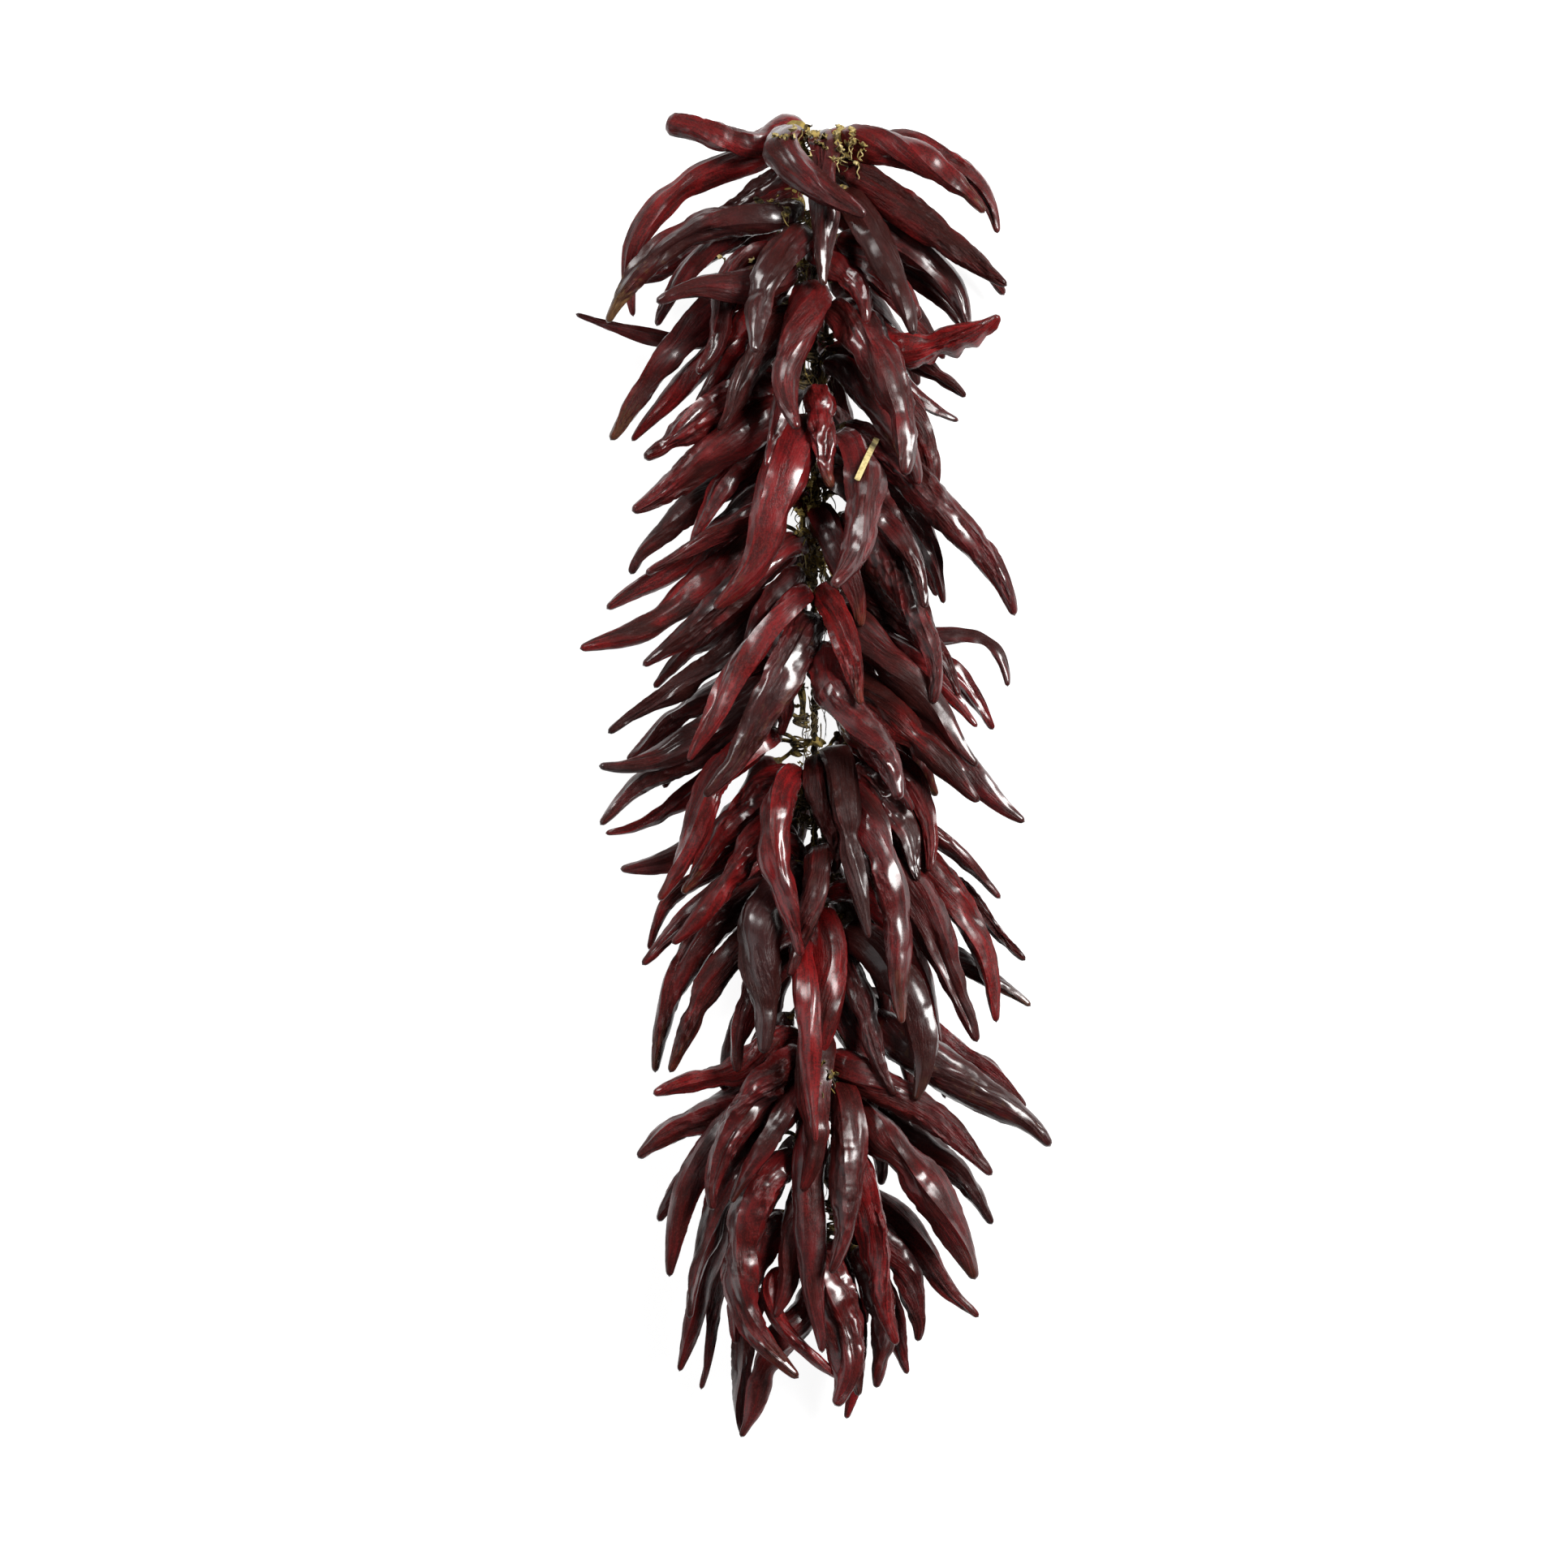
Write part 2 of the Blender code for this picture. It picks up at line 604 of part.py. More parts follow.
def make_straw(bunches, collection, material):
    """A strip of straw laid over the pods: it bends as little as it can and clears them all."""
    trees = []
    for obj in bunches:
        corners = [v.co for v in obj.data.vertices]
        trees.append(BVHTree.FromPolygons(corners, [tuple(face.vertices) for face in obj.data.polygons]))
    first, last = (np.array(end) * MM for end in STRAW_ENDS)
    across = np.array([last[1] - first[1], first[0] - last[0]])
    across = across / math.sqrt(across @ across) * STRAW_WIDTH / 2 * MM
    middles = [first + (last - first) * k / STRAW_STEPS for k in range(STRAW_STEPS + 1)]
    step = (last - first) / STRAW_STEPS
    patch = [across * side + step * ahead for side in STRAW_PROBES for ahead in STRAW_PROBES]
    heights = [max(top_of(trees, *(middle + offset)) for offset in patch) for middle in middles]
    for _ in range(STRAW_EASINGS):
        for k in range(1, STRAW_STEPS):
            heights[k] = max(heights[k], (heights[k - 1] + heights[k + 1]) / 2)
    shape = bmesh.new()
    rings = []
    for middle, height in zip(middles, heights):
        low = height + STRAW_CLEAR * MM
        high = low + STRAW_THICKNESS * MM
        corners = ((1, low), (-1, low), (-1, high), (1, high))
        rings.append([shape.verts.new((*(middle + across * side), level)) for side, level in corners])
    for ring, following in zip(rings, rings[1:]):
        for k in range(4):
            shape.faces.new((ring[k - 1], ring[k], following[k], following[k - 1]))
    shape.faces.new(rings[0][::-1])
    shape.faces.new(rings[-1])
    bmesh.ops.recalc_face_normals(shape, faces=shape.faces)
    mesh = bpy.data.meshes.new("straw")
    shape.to_mesh(mesh)
    shape.free()
    return add("straw", mesh, collection, material)


def stand_on_ground(parts):
    """Moves everything so that the middle of its box's underside is the origin."""
    corners = np.array([v.co for obj in parts for v in obj.data.vertices])
    low, high = corners.min(axis=0), corners.max(axis=0)
    shift = Matrix.Translation((-(low[0] + high[0]) / 2, -(low[1] + high[1]) / 2, -low[2]))
    for obj in parts:
        obj.data.transform(shift)


def main():
    clear_scene()
    ristra = new_collection("ristra")
    helpers = new_collection("guides", hidden=True)
    skins = [plain_material(*skin) for skin in SKINS]
    cord_material = plain_material("cord_fibre", (0.2, 0.14, 0.06), 0.85)
    section = flat_profile(helpers)
    section.hide_render = True
    section.display_type = "WIRE"
    bunches = tied(all_pods())
    knots = knots_of(bunches)
    places, radii, owner, stiff = chains(bunches, knots)
    places = make_room(places, radii, owner, stiff, knots)
    rng = random.Random(SEED)
    parts = [make_cord(ristra, helpers, cord_material)]
    for number, knot in enumerate(knots):
        meshes = [knot_mesh(knot)]
        for pod in np.flatnonzero(owner == number):
            tilt = math.radians(rng.uniform(-30, 30))
            meshes.append(pod_mesh(places[pod], radii[pod], tilt, section, helpers))
        name = f"bunch_{number + 1:02d}"
        parts.append(joined(name, meshes, ristra, helpers, skins[number % len(skins)]))
    parts.append(make_straw(parts[1:], ristra, plain_material("pale_straw", (0.55, 0.45, 0.2), 0.7)))
    stand_on_ground(parts)


main()
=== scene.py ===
# %% [markdown]
# A ristra is a long string of dried chillies. The pods are tied in threes by their stems, and each three is
# tied round a cord, so that the pods stand out all round like the bristles of a bottle brush and droop with
# their weight. This one lies on its back with its shown side up.
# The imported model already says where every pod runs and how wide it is, as a coarse closed solid for each
# bunch of three. So the work here is the look: each coarse pod is measured, and a finely shaped one takes
# its place.

# %% Load the frame
import json
import math
import random

import bmesh
import bpy
import numpy as np
from mathutils import Matrix, Vector


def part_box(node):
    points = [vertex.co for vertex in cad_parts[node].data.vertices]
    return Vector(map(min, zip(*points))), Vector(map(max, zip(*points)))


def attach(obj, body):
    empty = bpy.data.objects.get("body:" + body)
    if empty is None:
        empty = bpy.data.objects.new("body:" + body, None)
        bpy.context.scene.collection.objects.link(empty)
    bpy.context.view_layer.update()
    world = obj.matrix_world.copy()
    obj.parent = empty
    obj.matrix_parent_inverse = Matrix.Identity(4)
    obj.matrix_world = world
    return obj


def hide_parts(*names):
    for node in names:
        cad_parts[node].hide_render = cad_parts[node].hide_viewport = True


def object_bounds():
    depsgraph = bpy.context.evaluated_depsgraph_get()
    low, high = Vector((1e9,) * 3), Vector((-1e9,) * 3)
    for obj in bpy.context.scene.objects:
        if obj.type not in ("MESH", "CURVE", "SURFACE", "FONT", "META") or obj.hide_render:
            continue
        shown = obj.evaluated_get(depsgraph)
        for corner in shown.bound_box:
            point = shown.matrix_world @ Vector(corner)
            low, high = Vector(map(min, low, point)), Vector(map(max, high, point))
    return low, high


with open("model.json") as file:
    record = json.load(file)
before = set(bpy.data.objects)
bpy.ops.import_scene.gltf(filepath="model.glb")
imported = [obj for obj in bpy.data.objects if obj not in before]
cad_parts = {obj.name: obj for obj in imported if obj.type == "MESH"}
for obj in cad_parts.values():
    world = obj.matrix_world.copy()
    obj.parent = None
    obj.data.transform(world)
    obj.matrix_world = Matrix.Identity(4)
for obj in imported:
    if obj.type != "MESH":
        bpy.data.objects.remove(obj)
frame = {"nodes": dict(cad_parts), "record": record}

cad_box = [list(corner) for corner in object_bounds()]
cord_low, cord_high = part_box("cord")
CORD_X = (cord_low.x + cord_high.x) / 2
CORD_Z = (cord_low.z + cord_high.z) / 2
BUNCHES = sorted(name for name in frame["nodes"] if name.startswith("bunch_"))
print(len(BUNCHES), "bunches on a cord", round(cord_high.y - cord_low.y, 3), "m long")

# %% [markdown]
# Each coarse pod is a five-sided tube that ends in one sharp point. From that point, the rings of the tube
# are found by walking outwards edge by edge: first ring, second ring, and so on back to the stem. The middle
# of each ring lies on the pod's own centre line, and the widest ring gives its width. Walking the mesh is
# safer than repeating a table of places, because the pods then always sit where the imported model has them.

# %% Measure the pods of one bunch
RINGS = 4
SIDES = 5


def unit(vectors):
    return vectors / np.maximum(np.linalg.norm(vectors, axis=-1, keepdims=True), 1e-12)


def sharpness(vert):
    """Near 1 at the point of a cone, and smaller on flat or rounded stretches."""
    total = Vector()
    for edge in vert.link_edges:
        total += (edge.other_vert(vert).co - vert.co).normalized()
    return total.length / len(vert.link_edges)


def rings_from(tip):
    """The rings of vertices met one after another on the way from the tip to the stem."""
    seen, ring, rings = {tip}, [tip], [[tip]]
    for _ in range(RINGS):
        ahead = []
        for vert in ring:
            for edge in vert.link_edges:
                other = edge.other_vert(vert)
                if other not in seen:
                    seen.add(other)
                    ahead.append(other)
        rings.append(ahead)
        ring = ahead
    return rings, seen


def measured_bunch(name):
    shape = bmesh.new()
    shape.from_mesh(frame["nodes"][name].data)
    bmesh.ops.remove_doubles(shape, verts=shape.verts, dist=1e-6)
    points = [vert for vert in shape.verts if len(vert.link_edges) == SIDES]
    tips = sorted(points, key=lambda vert: -sharpness(vert))[:3]
    pods, used = [], set()
    for tip in sorted(tips, key=lambda vert: tuple(vert.co)):
        rings, seen = rings_from(tip)
        used |= seen
        line = np.array([np.mean([vert.co for vert in ring], axis=0) for ring in reversed(rings)])
        belly = rings[2]
        half = max((vert.co - Vector(line[2])).length for vert in belly)
        pods.append({"line": line, "half_width": half})
    rest = [vert.co for vert in shape.verts if vert not in used]
    knot = np.mean(rest, axis=0)
    for pod in pods:
        pod["knot"] = knot
    shape.free()
    return pods


bunches = [measured_bunch(name) for name in BUNCHES]
pods = [pod for bunch in bunches for pod in bunch]
for number, pod in enumerate(pods):
    pod["number"] = number
    tip = pod["line"][-1]
    pod["across"] = (tip[0] - CORD_X) * 1000
    pod["down"] = (cord_high.y - tip[1]) * 1000
    run = tip - pod["line"][0]
    tilt = random.Random(number).uniform(-8, 8)
    pod["wide"] = unit(np.cross(run, (0, 0, 1)) + np.array([0, 0, tilt]) * 1e-2)
widths = [2000 * pod["half_width"] for pod in pods]
print(len(pods), "pods,", round(min(widths)), "to", round(max(widths)), "mm wide")

# %% [markdown]
# A pod's centre line has only a handful of measured places, so a smooth curve is passed through them: a
# natural cubic spline, the same bend that a thin springy batten would take. Along that curve a cross-section
# has to be carried without spinning, so each step only tips the frame as much as the line itself turns.

# %% Smooth line and its frames
def smooth_line(places, count):
    """Evenly spaced points on a natural cubic spline through the places."""
    steps = np.linalg.norm(np.diff(places, axis=0), axis=1)
    knots = np.concatenate([[0], np.cumsum(steps)])
    size = len(places)
    system = np.eye(size)
    right = np.zeros((size, 3))
    for k in range(1, size - 1):
        before, after = steps[k - 1], steps[k]
        system[k, k - 1 : k + 2] = before, 2 * (before + after), after
        right[k] = 6 * ((places[k + 1] - places[k]) / after - (places[k] - places[k - 1]) / before)
    bend = np.linalg.solve(system, right)
    at = np.linspace(0, knots[-1], 4 * count)
    k = np.clip(np.searchsorted(knots, at, side="right") - 1, 0, size - 2)
    h, a, b = steps[k][:, None], (knots[k + 1] - at)[:, None], (at - knots[k])[:, None]
    line = bend[k] * a**3 / (6 * h) + bend[k + 1] * b**3 / (6 * h)
    line += (places[k] / h - bend[k] * h / 6) * a + (places[k + 1] / h - bend[k + 1] * h / 6) * b
    return evenly(line, np.linspace(0, 1, count))


def evenly(line, shares):
    """Points at these shares of a line's length."""
    run = np.concatenate([[0], np.cumsum(np.linalg.norm(np.diff(line, axis=0), axis=1))])
    return np.stack([np.interp(shares * run[-1], run, line[:, axis]) for axis in range(3)], axis=1)


def length_of(line):
    return float(np.linalg.norm(np.diff(line, axis=0), axis=1).sum())


def frames_along(line, side):
    """The line's direction and two directions square to it at each point, carried without spin."""
    ahead = unit(np.gradient(line, axis=0))
    wide = np.zeros_like(line)
    carried = side
    for k, direction in enumerate(ahead):
        carried = unit(carried - direction * np.dot(carried, direction))
        wide[k] = carried
    return ahead, wide, np.cross(ahead, wide)


# %% [markdown]
# Dried skin is uneven everywhere: it dents, puckers and creases. The unevenness comes from a few dozen sine
# waves that run in random directions and are added up. That is quick to work out for a whole pod at once,
# it has no seam where the skin closes on itself, and the same seed gives the same pod every time. Folding the
# sum at zero turns the soft swell into sharp creases.

# %% Waves for an uneven skin
def wave_bank(rng, count, slow, fast):
    """Random directions and phases for waves between these numbers of turns per unit."""
    way = unit(rng.normal(size=(count, 3)))
    pace = rng.uniform(slow, fast, size=(count, 1))
    return way * pace * math.tau, rng.uniform(0, math.tau, size=count)


def swell(points, bank):
    """A soft swell, mostly between -1 and 1."""
    ways, phases = bank
    return np.sin(points @ ways.T + phases).sum(axis=1) / math.sqrt(len(phases) / 2) * 0.6


def creases(points, bank):
    """0 on open skin, rising to 1 along thin creases."""
    return np.clip(1 - np.abs(swell(points, bank)) * 2.4, 0, 1) ** 1.5


def crumples(points, bank):
    """0 along sharp raised folds, and up to about 1 in the hollows between them."""
    return np.abs(swell(points, bank))


# %% [markdown]
# Every pod, cap and stem is one kind of thing: a closed tube whose rings change. One such tube is made once,
# from a flat grid that is rolled up until its long edges meet and are merged, and whose two ends are drawn
# to a point. The flat grid keeps its square pattern as a UV map. Each pod is then a copy of this tube with
# its vertices moved, which is far quicker than building every pod face by face. The tube also knows which of
# its lengthways columns each vertex and edge is in, so that a whole column can be made a sharp ridge.

# %% A rolled tube to copy
def rolled_tube(name, around, along, spacing):
    """A closed tube of radius 1, its length from z 0 to 1, its rings placed by the spacing function."""
    shape = bmesh.new()
    skin = shape.loops.layers.uv.new("skin")
    bmesh.ops.create_grid(shape, x_segments=around, y_segments=along, size=0.5)
    for face in shape.faces:
        for loop in face.loops:
            loop[skin].uv = (loop.vert.co.x + 0.5, spacing(loop.vert.co.y + 0.5))
    for vert in shape.verts:
        turn = math.tau * (vert.co.x + 0.5)
        share = spacing(vert.co.y + 0.5)
        reach = 0.0 if share < 1e-6 or share > 1 - 1e-6 else 1.0
        vert.co = (reach * math.cos(turn), reach * math.sin(turn), share)
    bmesh.ops.remove_doubles(shape, verts=shape.verts, dist=1e-5)
    bmesh.ops.recalc_face_normals(shape, faces=shape.faces)
    mesh = bpy.data.meshes.new(name)
    shape.to_mesh(mesh)
    shape.free()
    places = np.empty(len(mesh.vertices) * 3, np.float32)
    mesh.vertices.foreach_get("co", places)
    places = places.reshape(-1, 3).astype(float)
    turn = np.arctan2(places[:, 1], places[:, 0])
    reach = np.hypot(places[:, 0], places[:, 1])
    column = np.where(reach > 0.5, np.round(turn / math.tau * around).astype(int) % around, -1)
    ends = np.empty(len(mesh.edges) * 2, np.int32)
    mesh.edges.foreach_get("vertices", ends)
    first, second = column[ends.reshape(-1, 2)].T
    return {
        "mesh": mesh,
        "turn": turn,
        "share": places[:, 2],
        "reach": reach,
        "column": column,
        "edge_column": np.where(first == second, first, -1),
    }


def closer_ends(share):
    """Rings a little closer together at both ends, where the shape changes fastest."""
    return share + 0.1 * math.sin(math.tau * (share - 0.5)) / math.tau * 2


AROUND = 28
POD_TUBE = rolled_tube("pod_tube", AROUND, 80, closer_ends)
CAP_TUBE = rolled_tube("cap_tube", 20, 9, lambda share: share)
STEM_TUBE = rolled_tube("stem_tube", 8, 12, lambda share: share)
print("one pod has", sum(len(face.vertices) - 2 for face in POD_TUBE["mesh"].polygons), "triangles")


# %% Copy a tube with new places
def shaped_copy(tube, places, look, slot, around, length, skin=None, ridges=(), relief=0.0):
    """A copy of the tube with its vertices at these places, a look for each, and its UV map in metres.

    The skin's own coordinates run along the pod and round it, so that a texture can be drawn out lengthways.
    Ridges are the columns of the tube that stay sharp, and relief is how strongly the skin is wrinkled.
    """
    mesh = tube["mesh"].copy()
    mesh.vertices.foreach_set("co", places.astype(np.float32).ravel())
    layer = mesh.color_attributes.new(name="look", type="FLOAT_COLOR", domain="POINT")
    layer.data.foreach_set("color", look.astype(np.float32).ravel())
    own = mesh.attributes.new(name="along_skin", type="FLOAT_VECTOR", domain="POINT")
    own.data.foreach_set("vector", (places if skin is None else skin).astype(np.float32).ravel())
    layer = mesh.attributes.new(name="relief", type="FLOAT", domain="POINT")
    layer.data.foreach_set("value", (np.zeros(len(places)) + relief).astype(np.float32))
    uv = np.empty(len(mesh.loops) * 2, np.float32)
    mesh.uv_layers["skin"].data.foreach_get("uv", uv)
    uv = uv.reshape(-1, 2) * np.array([around, length], np.float32)
    mesh.uv_layers["skin"].data.foreach_set("uv", uv.ravel())
    mesh.polygons.foreach_set("material_index", np.full(len(mesh.polygons), slot, np.int32))
    sharp = mesh.attributes.new(name="sharp_edge", type="BOOLEAN", domain="EDGE")
    sharp.data.foreach_set("value", np.isin(tube["edge_column"], ridges))
    return mesh


# %% [markdown]
# No two dried pods are alike, so each gets its own character: how flat it has dried, how many long ridges it
# has, how deep its folds and wrinkles are, how hooked its tip is, and its colour. Most are oxblood to
# black-brown, some are bright red, and a few have an ochre or orange tip; on all of them painted light makes
# the thin edges and ridges redder. The chosen pods below, found by where their tips hang, are the ones that
# catch the eye.

# %% Characters
PLAIN = {
    "red": 0.3, "dark": 0.3, "tan": 0.0, "tip_tan": 0.0, "flat": 0.62, "ridges": 4, "panel": 0.8,
    "folds": 1, "fold": 0.3, "wrinkle": 0.4, "hook": 0.0, "blunt": 0.0, "sheen": 0.3, "twist": 30,
    "crumple": 0.3, "pinch": 0.1, "jag": 0.0,
}
# How far across and how far down from the cord's top the tip hangs, in millimetres, and what is special.
CHOSEN = (
    (-86, 8, {"blunt": 1.0, "red": 0.6, "dark": 0.3, "wrinkle": 0.8, "flat": 0.85, "crumple": 0.5}),
    (-124, 125, {"red": 0.6, "dark": 0.1, "flat": 0.8, "wrinkle": 0.15, "crumple": 0.0}),
    (36, 76, {"sheen": 1.0, "red": 0.25, "dark": 0.25, "wrinkle": 0.2, "flat": 0.55}),
    (0, 108, {"sheen": 0.8, "red": 0.05, "dark": 0.45, "tip_tan": 0.25, "flat": 0.5}),
    (122, 116, {"red": 0.15, "dark": 0.4, "flat": 0.6, "wrinkle": 0.7}),
    (129, 70, {"red": 0.5, "dark": 0.25, "hook": 0.9, "folds": 2, "fold": 0.5}),
    (112, 74, {"red": 0.5, "dark": 0.2, "folds": 2, "fold": 0.4, "hook": 0.0}),
    (-143, 137, {"red": 0.1, "dark": 0.65, "tip_tan": 0.6, "tan": 0.25, "wrinkle": 0.7}),
    (-135, 218, {"red": 0.25, "dark": 0.35, "tip_tan": 0.4, "sheen": 0.8}),
    (-122, 217, {"red": 0.7, "dark": 0.1}),
    (-37, 165, {"red": 0.05, "dark": 0.6, "sheen": 0.8, "tan": 0.2}),
    (-38, 235, {"red": 0.6, "dark": 0.1, "wrinkle": 1.0, "sheen": 1.0,
                "folds": 2, "fold": 0.4, "crumple": 0.9}),
    (66, 243, {"red": 0.3, "dark": 0.3, "wrinkle": 0.5, "sheen": 0.6}),
    (10, 235, {"red": 0.75, "dark": 0.0, "wrinkle": 0.9, "crumple": 0.8, "sheen": 0.8}),
    (130, 136, {"red": 0.9, "dark": 0.0, "wrinkle": 0.8, "panel": 1.0, "jag": 0.5}),
    (-101, 203, {"red": 0.4, "dark": 0.2, "wrinkle": 1.0, "crumple": 0.8, "sheen": 0.9}),
    (-106, 238, {"red": 0.5, "dark": 0.2, "wrinkle": 1.0, "crumple": 0.7, "sheen": 0.9}),
    (-55, 335, {"red": 0.75, "dark": 0.0, "wrinkle": 0.2, "flat": 0.75, "panel": 0.9, "sheen": 1.0}),
    (18, 328, {"red": 0.35, "dark": 0.2, "wrinkle": 0.25, "flat": 0.7, "panel": 0.9, "sheen": 0.9}),
    (140, 331, {"red": 0.3, "dark": 0.2, "wrinkle": 0.9, "crumple": 0.4, "sheen": 1.0}),
    (-85, 446, {"red": 0.7, "dark": 0.0, "wrinkle": 0.2}),
    (-73, 465, {"red": 0.1, "dark": 0.5, "tan": 0.35, "wrinkle": 0.6, "sheen": 0.8}),
    (49, 460, {"red": 0.35, "dark": 0.2, "wrinkle": 1.0, "sheen": 1.0,
               "folds": 2, "fold": 0.5, "crumple": 1.0}),
    (139, 386, {"red": 0.1, "dark": 0.6, "hook": 1.2}),
    (135, 407, {"red": 0.9, "dark": 0.0}),
    (4, 562, {"red": 0.75, "dark": 0.0, "wrinkle": 0.5, "sheen": 1.0}),
    (36, 568, {"red": 0.0, "dark": 0.9}),
    (64, 608, {"red": 0.3, "dark": 0.25, "wrinkle": 0.5, "sheen": 1.0, "tip_tan": 0.35}),
    (-36, 631, {"red": 0.0, "dark": 0.9, "sheen": 1.0, "wrinkle": 0.3}),
    (2, 682, {"red": 0.9, "dark": 0.0, "wrinkle": 0.1}),
    (-107, 672, {"red": 0.8, "dark": 0.0}),
    (170, 693, {"red": 0.15, "dark": 0.55, "tan": 0.35}),
    (-67, 745, {"red": 0.4, "dark": 0.2, "wrinkle": 0.9, "sheen": 0.9, "crumple": 0.5}),
    (72, 678, {"red": 0.0, "dark": 0.9}),
    (103, 796, {"red": 0.25, "dark": 0.3, "tip_tan": 0.25}),
    (0, 835, {"red": 0.3, "dark": 0.3, "sheen": 0.9}),
    (-15, 866, {"red": 0.45, "dark": 0.2, "wrinkle": 0.9, "sheen": 0.8, "crumple": 0.6}),
    (30, 878, {"red": 0.35, "dark": 0.2, "wrinkle": 0.7, "sheen": 0.8,
               "folds": 2, "fold": 0.5, "crumple": 0.6}),
)


def given_character(pod):
    rng = random.Random(f"pod {pod['number']}")
    own = dict(PLAIN)
    own["red"] = rng.betavariate(1.3, 2.2)
    own["dark"] = rng.betavariate(1.2, 2.2)
    own["flat"] = rng.uniform(0.55, 0.85)
    own["ridges"] = rng.choice((3, 4, 4, 5, 5, 6))
    own["panel"] = rng.uniform(0.55, 1.1)
    own["folds"] = rng.choice((0, 1, 1, 2))
    own["fold"] = rng.uniform(0.15, 0.45)
    own["wrinkle"] = rng.betavariate(1.6, 1.7)
    own["crumple"] = rng.betavariate(1.2, 2.2)
    own["pinch"] = rng.uniform(0.0, 0.3)
    own["hook"] = rng.uniform(-0.8, 1.0)
    own["sheen"] = rng.uniform(0.0, 1.0)
    own["twist"] = rng.uniform(-80, 80)
    own["tan"] = max(0.0, rng.uniform(-0.5, 0.25))
    own["tip_tan"] = max(0.0, rng.uniform(-1.4, 0.4))
    return own


for pod in pods:
    pod["character"] = given_character(pod)
for across, down, special in CHOSEN:
    nearest = min(pods, key=lambda pod: math.hypot(pod["across"] - across, pod["down"] - down)
                  - 0.12 * (pod["line"][-1][2] * 1000))
    nearest["character"].update(special)
print("mean redness", round(sum(pod["character"]["red"] for pod in pods) / len(pods), 2))

# %% [markdown]
# The shape of one pod: it swells quickly from the cap to broad shoulders, keeps its width past the middle and
# draws in to a narrow blunt tip. A fresh pod is round, but this skin has dried and caved in. So it goes slack
# between a few sharp lengthways ridges, folds in on itself here and there, is pinched in at places, and is
# crumpled in short sharp folds that run mostly lengthways, with puckers across it.

# %% Outline and centre line of one pod
PROFILE = (
    (0.0, 0.3), (0.02, 0.52), (0.05, 0.78), (0.1, 0.94), (0.2, 1.04), (0.4, 1.04), (0.6, 0.9),
    (0.75, 0.7), (0.86, 0.5), (0.94, 0.33), (0.98, 0.22), (1.0, 0.1),
)
BLUNT_PROFILE = (
    (0.0, 0.4), (0.05, 0.8), (0.15, 0.95), (0.4, 1.0), (0.7, 0.98), (0.88, 0.92), (0.96, 0.7), (1.0, 0.35),
)
FLOOR = cad_box[0][2] + 0.0003
# The skin has caved in from its full width, so the tube starts out this much wider.
PLUMPER = 1.2


def profile_at(share, blunt):
    slim = np.interp(share, *zip(*PROFILE))
    full = np.interp(share, *zip(*BLUNT_PROFILE))
    return slim + (full - slim) * blunt


def skin_line(pod):
    """The pod's centre line from under its cap to its tip, with a slight waver and a hooked tip."""
    own = pod["character"]
    rng = np.random.default_rng(1000 + pod["number"])
    line = smooth_line(pod["line"], 60)
    _, wide, _ = frames_along(line, pod["wide"])
    share = np.linspace(0, 1, len(line))[:, None]
    size = pod["half_width"]
    sway = size * 0.1 * np.sin(math.tau * (share * rng.uniform(1.0, 2.4) + rng.uniform())) * share
    hook = size * 1.1 * own["hook"] * np.clip((share - 0.66) / 0.34, 0, 1) ** 2
    return evenly(line + wide * (sway + hook), np.linspace(0, 1, 200))


def carried_to(line, side, share):
    """The middle of the line, its wide side and its thin side, at each vertex's share of the length."""
    _, wide, thin = frames_along(line, side)
    at = share * (len(line) - 1)
    low = np.clip(at.astype(int), 0, len(line) - 2)
    part = (at - low)[:, None]
    return [rows[low] * (1 - part) + rows[low + 1] * part for rows in (line, wide, thin)]


def ridge_columns(rng, count):
    """The columns of the tube that become ridges, unevenly spaced round it."""
    spots = np.arange(count) + rng.uniform(-0.3, 0.3, count)
    return np.unique(np.round(spots / count * AROUND).astype(int) % AROUND)


def panels(rng, ridges, slack):
    """The radius of each column: 1 at a ridge, and less between two, where the skin lies flat or sags."""
    radius = np.ones(AROUND)
    for k, start in enumerate(ridges):
        end = ridges[(k + 1) % len(ridges)] + (AROUND if k + 1 == len(ridges) else 0)
        half = (end - start) / 2
        own_slack = slack * rng.uniform(0.6, 1.2)
        for column in range(start + 1, end):
            chord = math.cos(math.tau * half / AROUND) / math.cos(math.tau * (column - start - half) / AROUND)
            radius[column % AROUND] = 1 - own_slack * (1 - max(chord, 0.4))
    return radius


def gap_round(turn, centre):
    """How far round the tube each turn is from the centre, in radians."""
    return np.angle(np.exp(1j * (turn - centre)))


# %% The caved-in skin of one pod
def folded_in(rng, own, share, turn, length):
    """How deep each vertex lies in a long fold or a dent, from 0 on open skin."""
    sunk = np.zeros_like(share)
    for _ in range(own["folds"]):
        centre = rng.uniform(0, math.tau) + rng.uniform(-1.2, 1.2) * share
        start, end = sorted(rng.uniform(0.0, 0.95, 2))
        reach = np.clip((share - start) / 0.12, 0, 1) * np.clip((end + 0.3 - share) / 0.12, 0, 1)
        gap = gap_round(turn, centre) / rng.uniform(0.22, 0.55)
        sunk += own["fold"] * np.exp(-np.abs(gap) ** 1.6) * reach
    for _ in range(7):
        place, centre = rng.uniform(0.05, 0.9), rng.uniform(0, math.tau)
        reach = ((share - place) * length * 100 / rng.uniform(0.5, 1.1)) ** 2
        sunk += rng.uniform(-0.05, 0.2) * np.exp(-reach - (gap_round(turn, centre) / 0.6) ** 2)
    return sunk


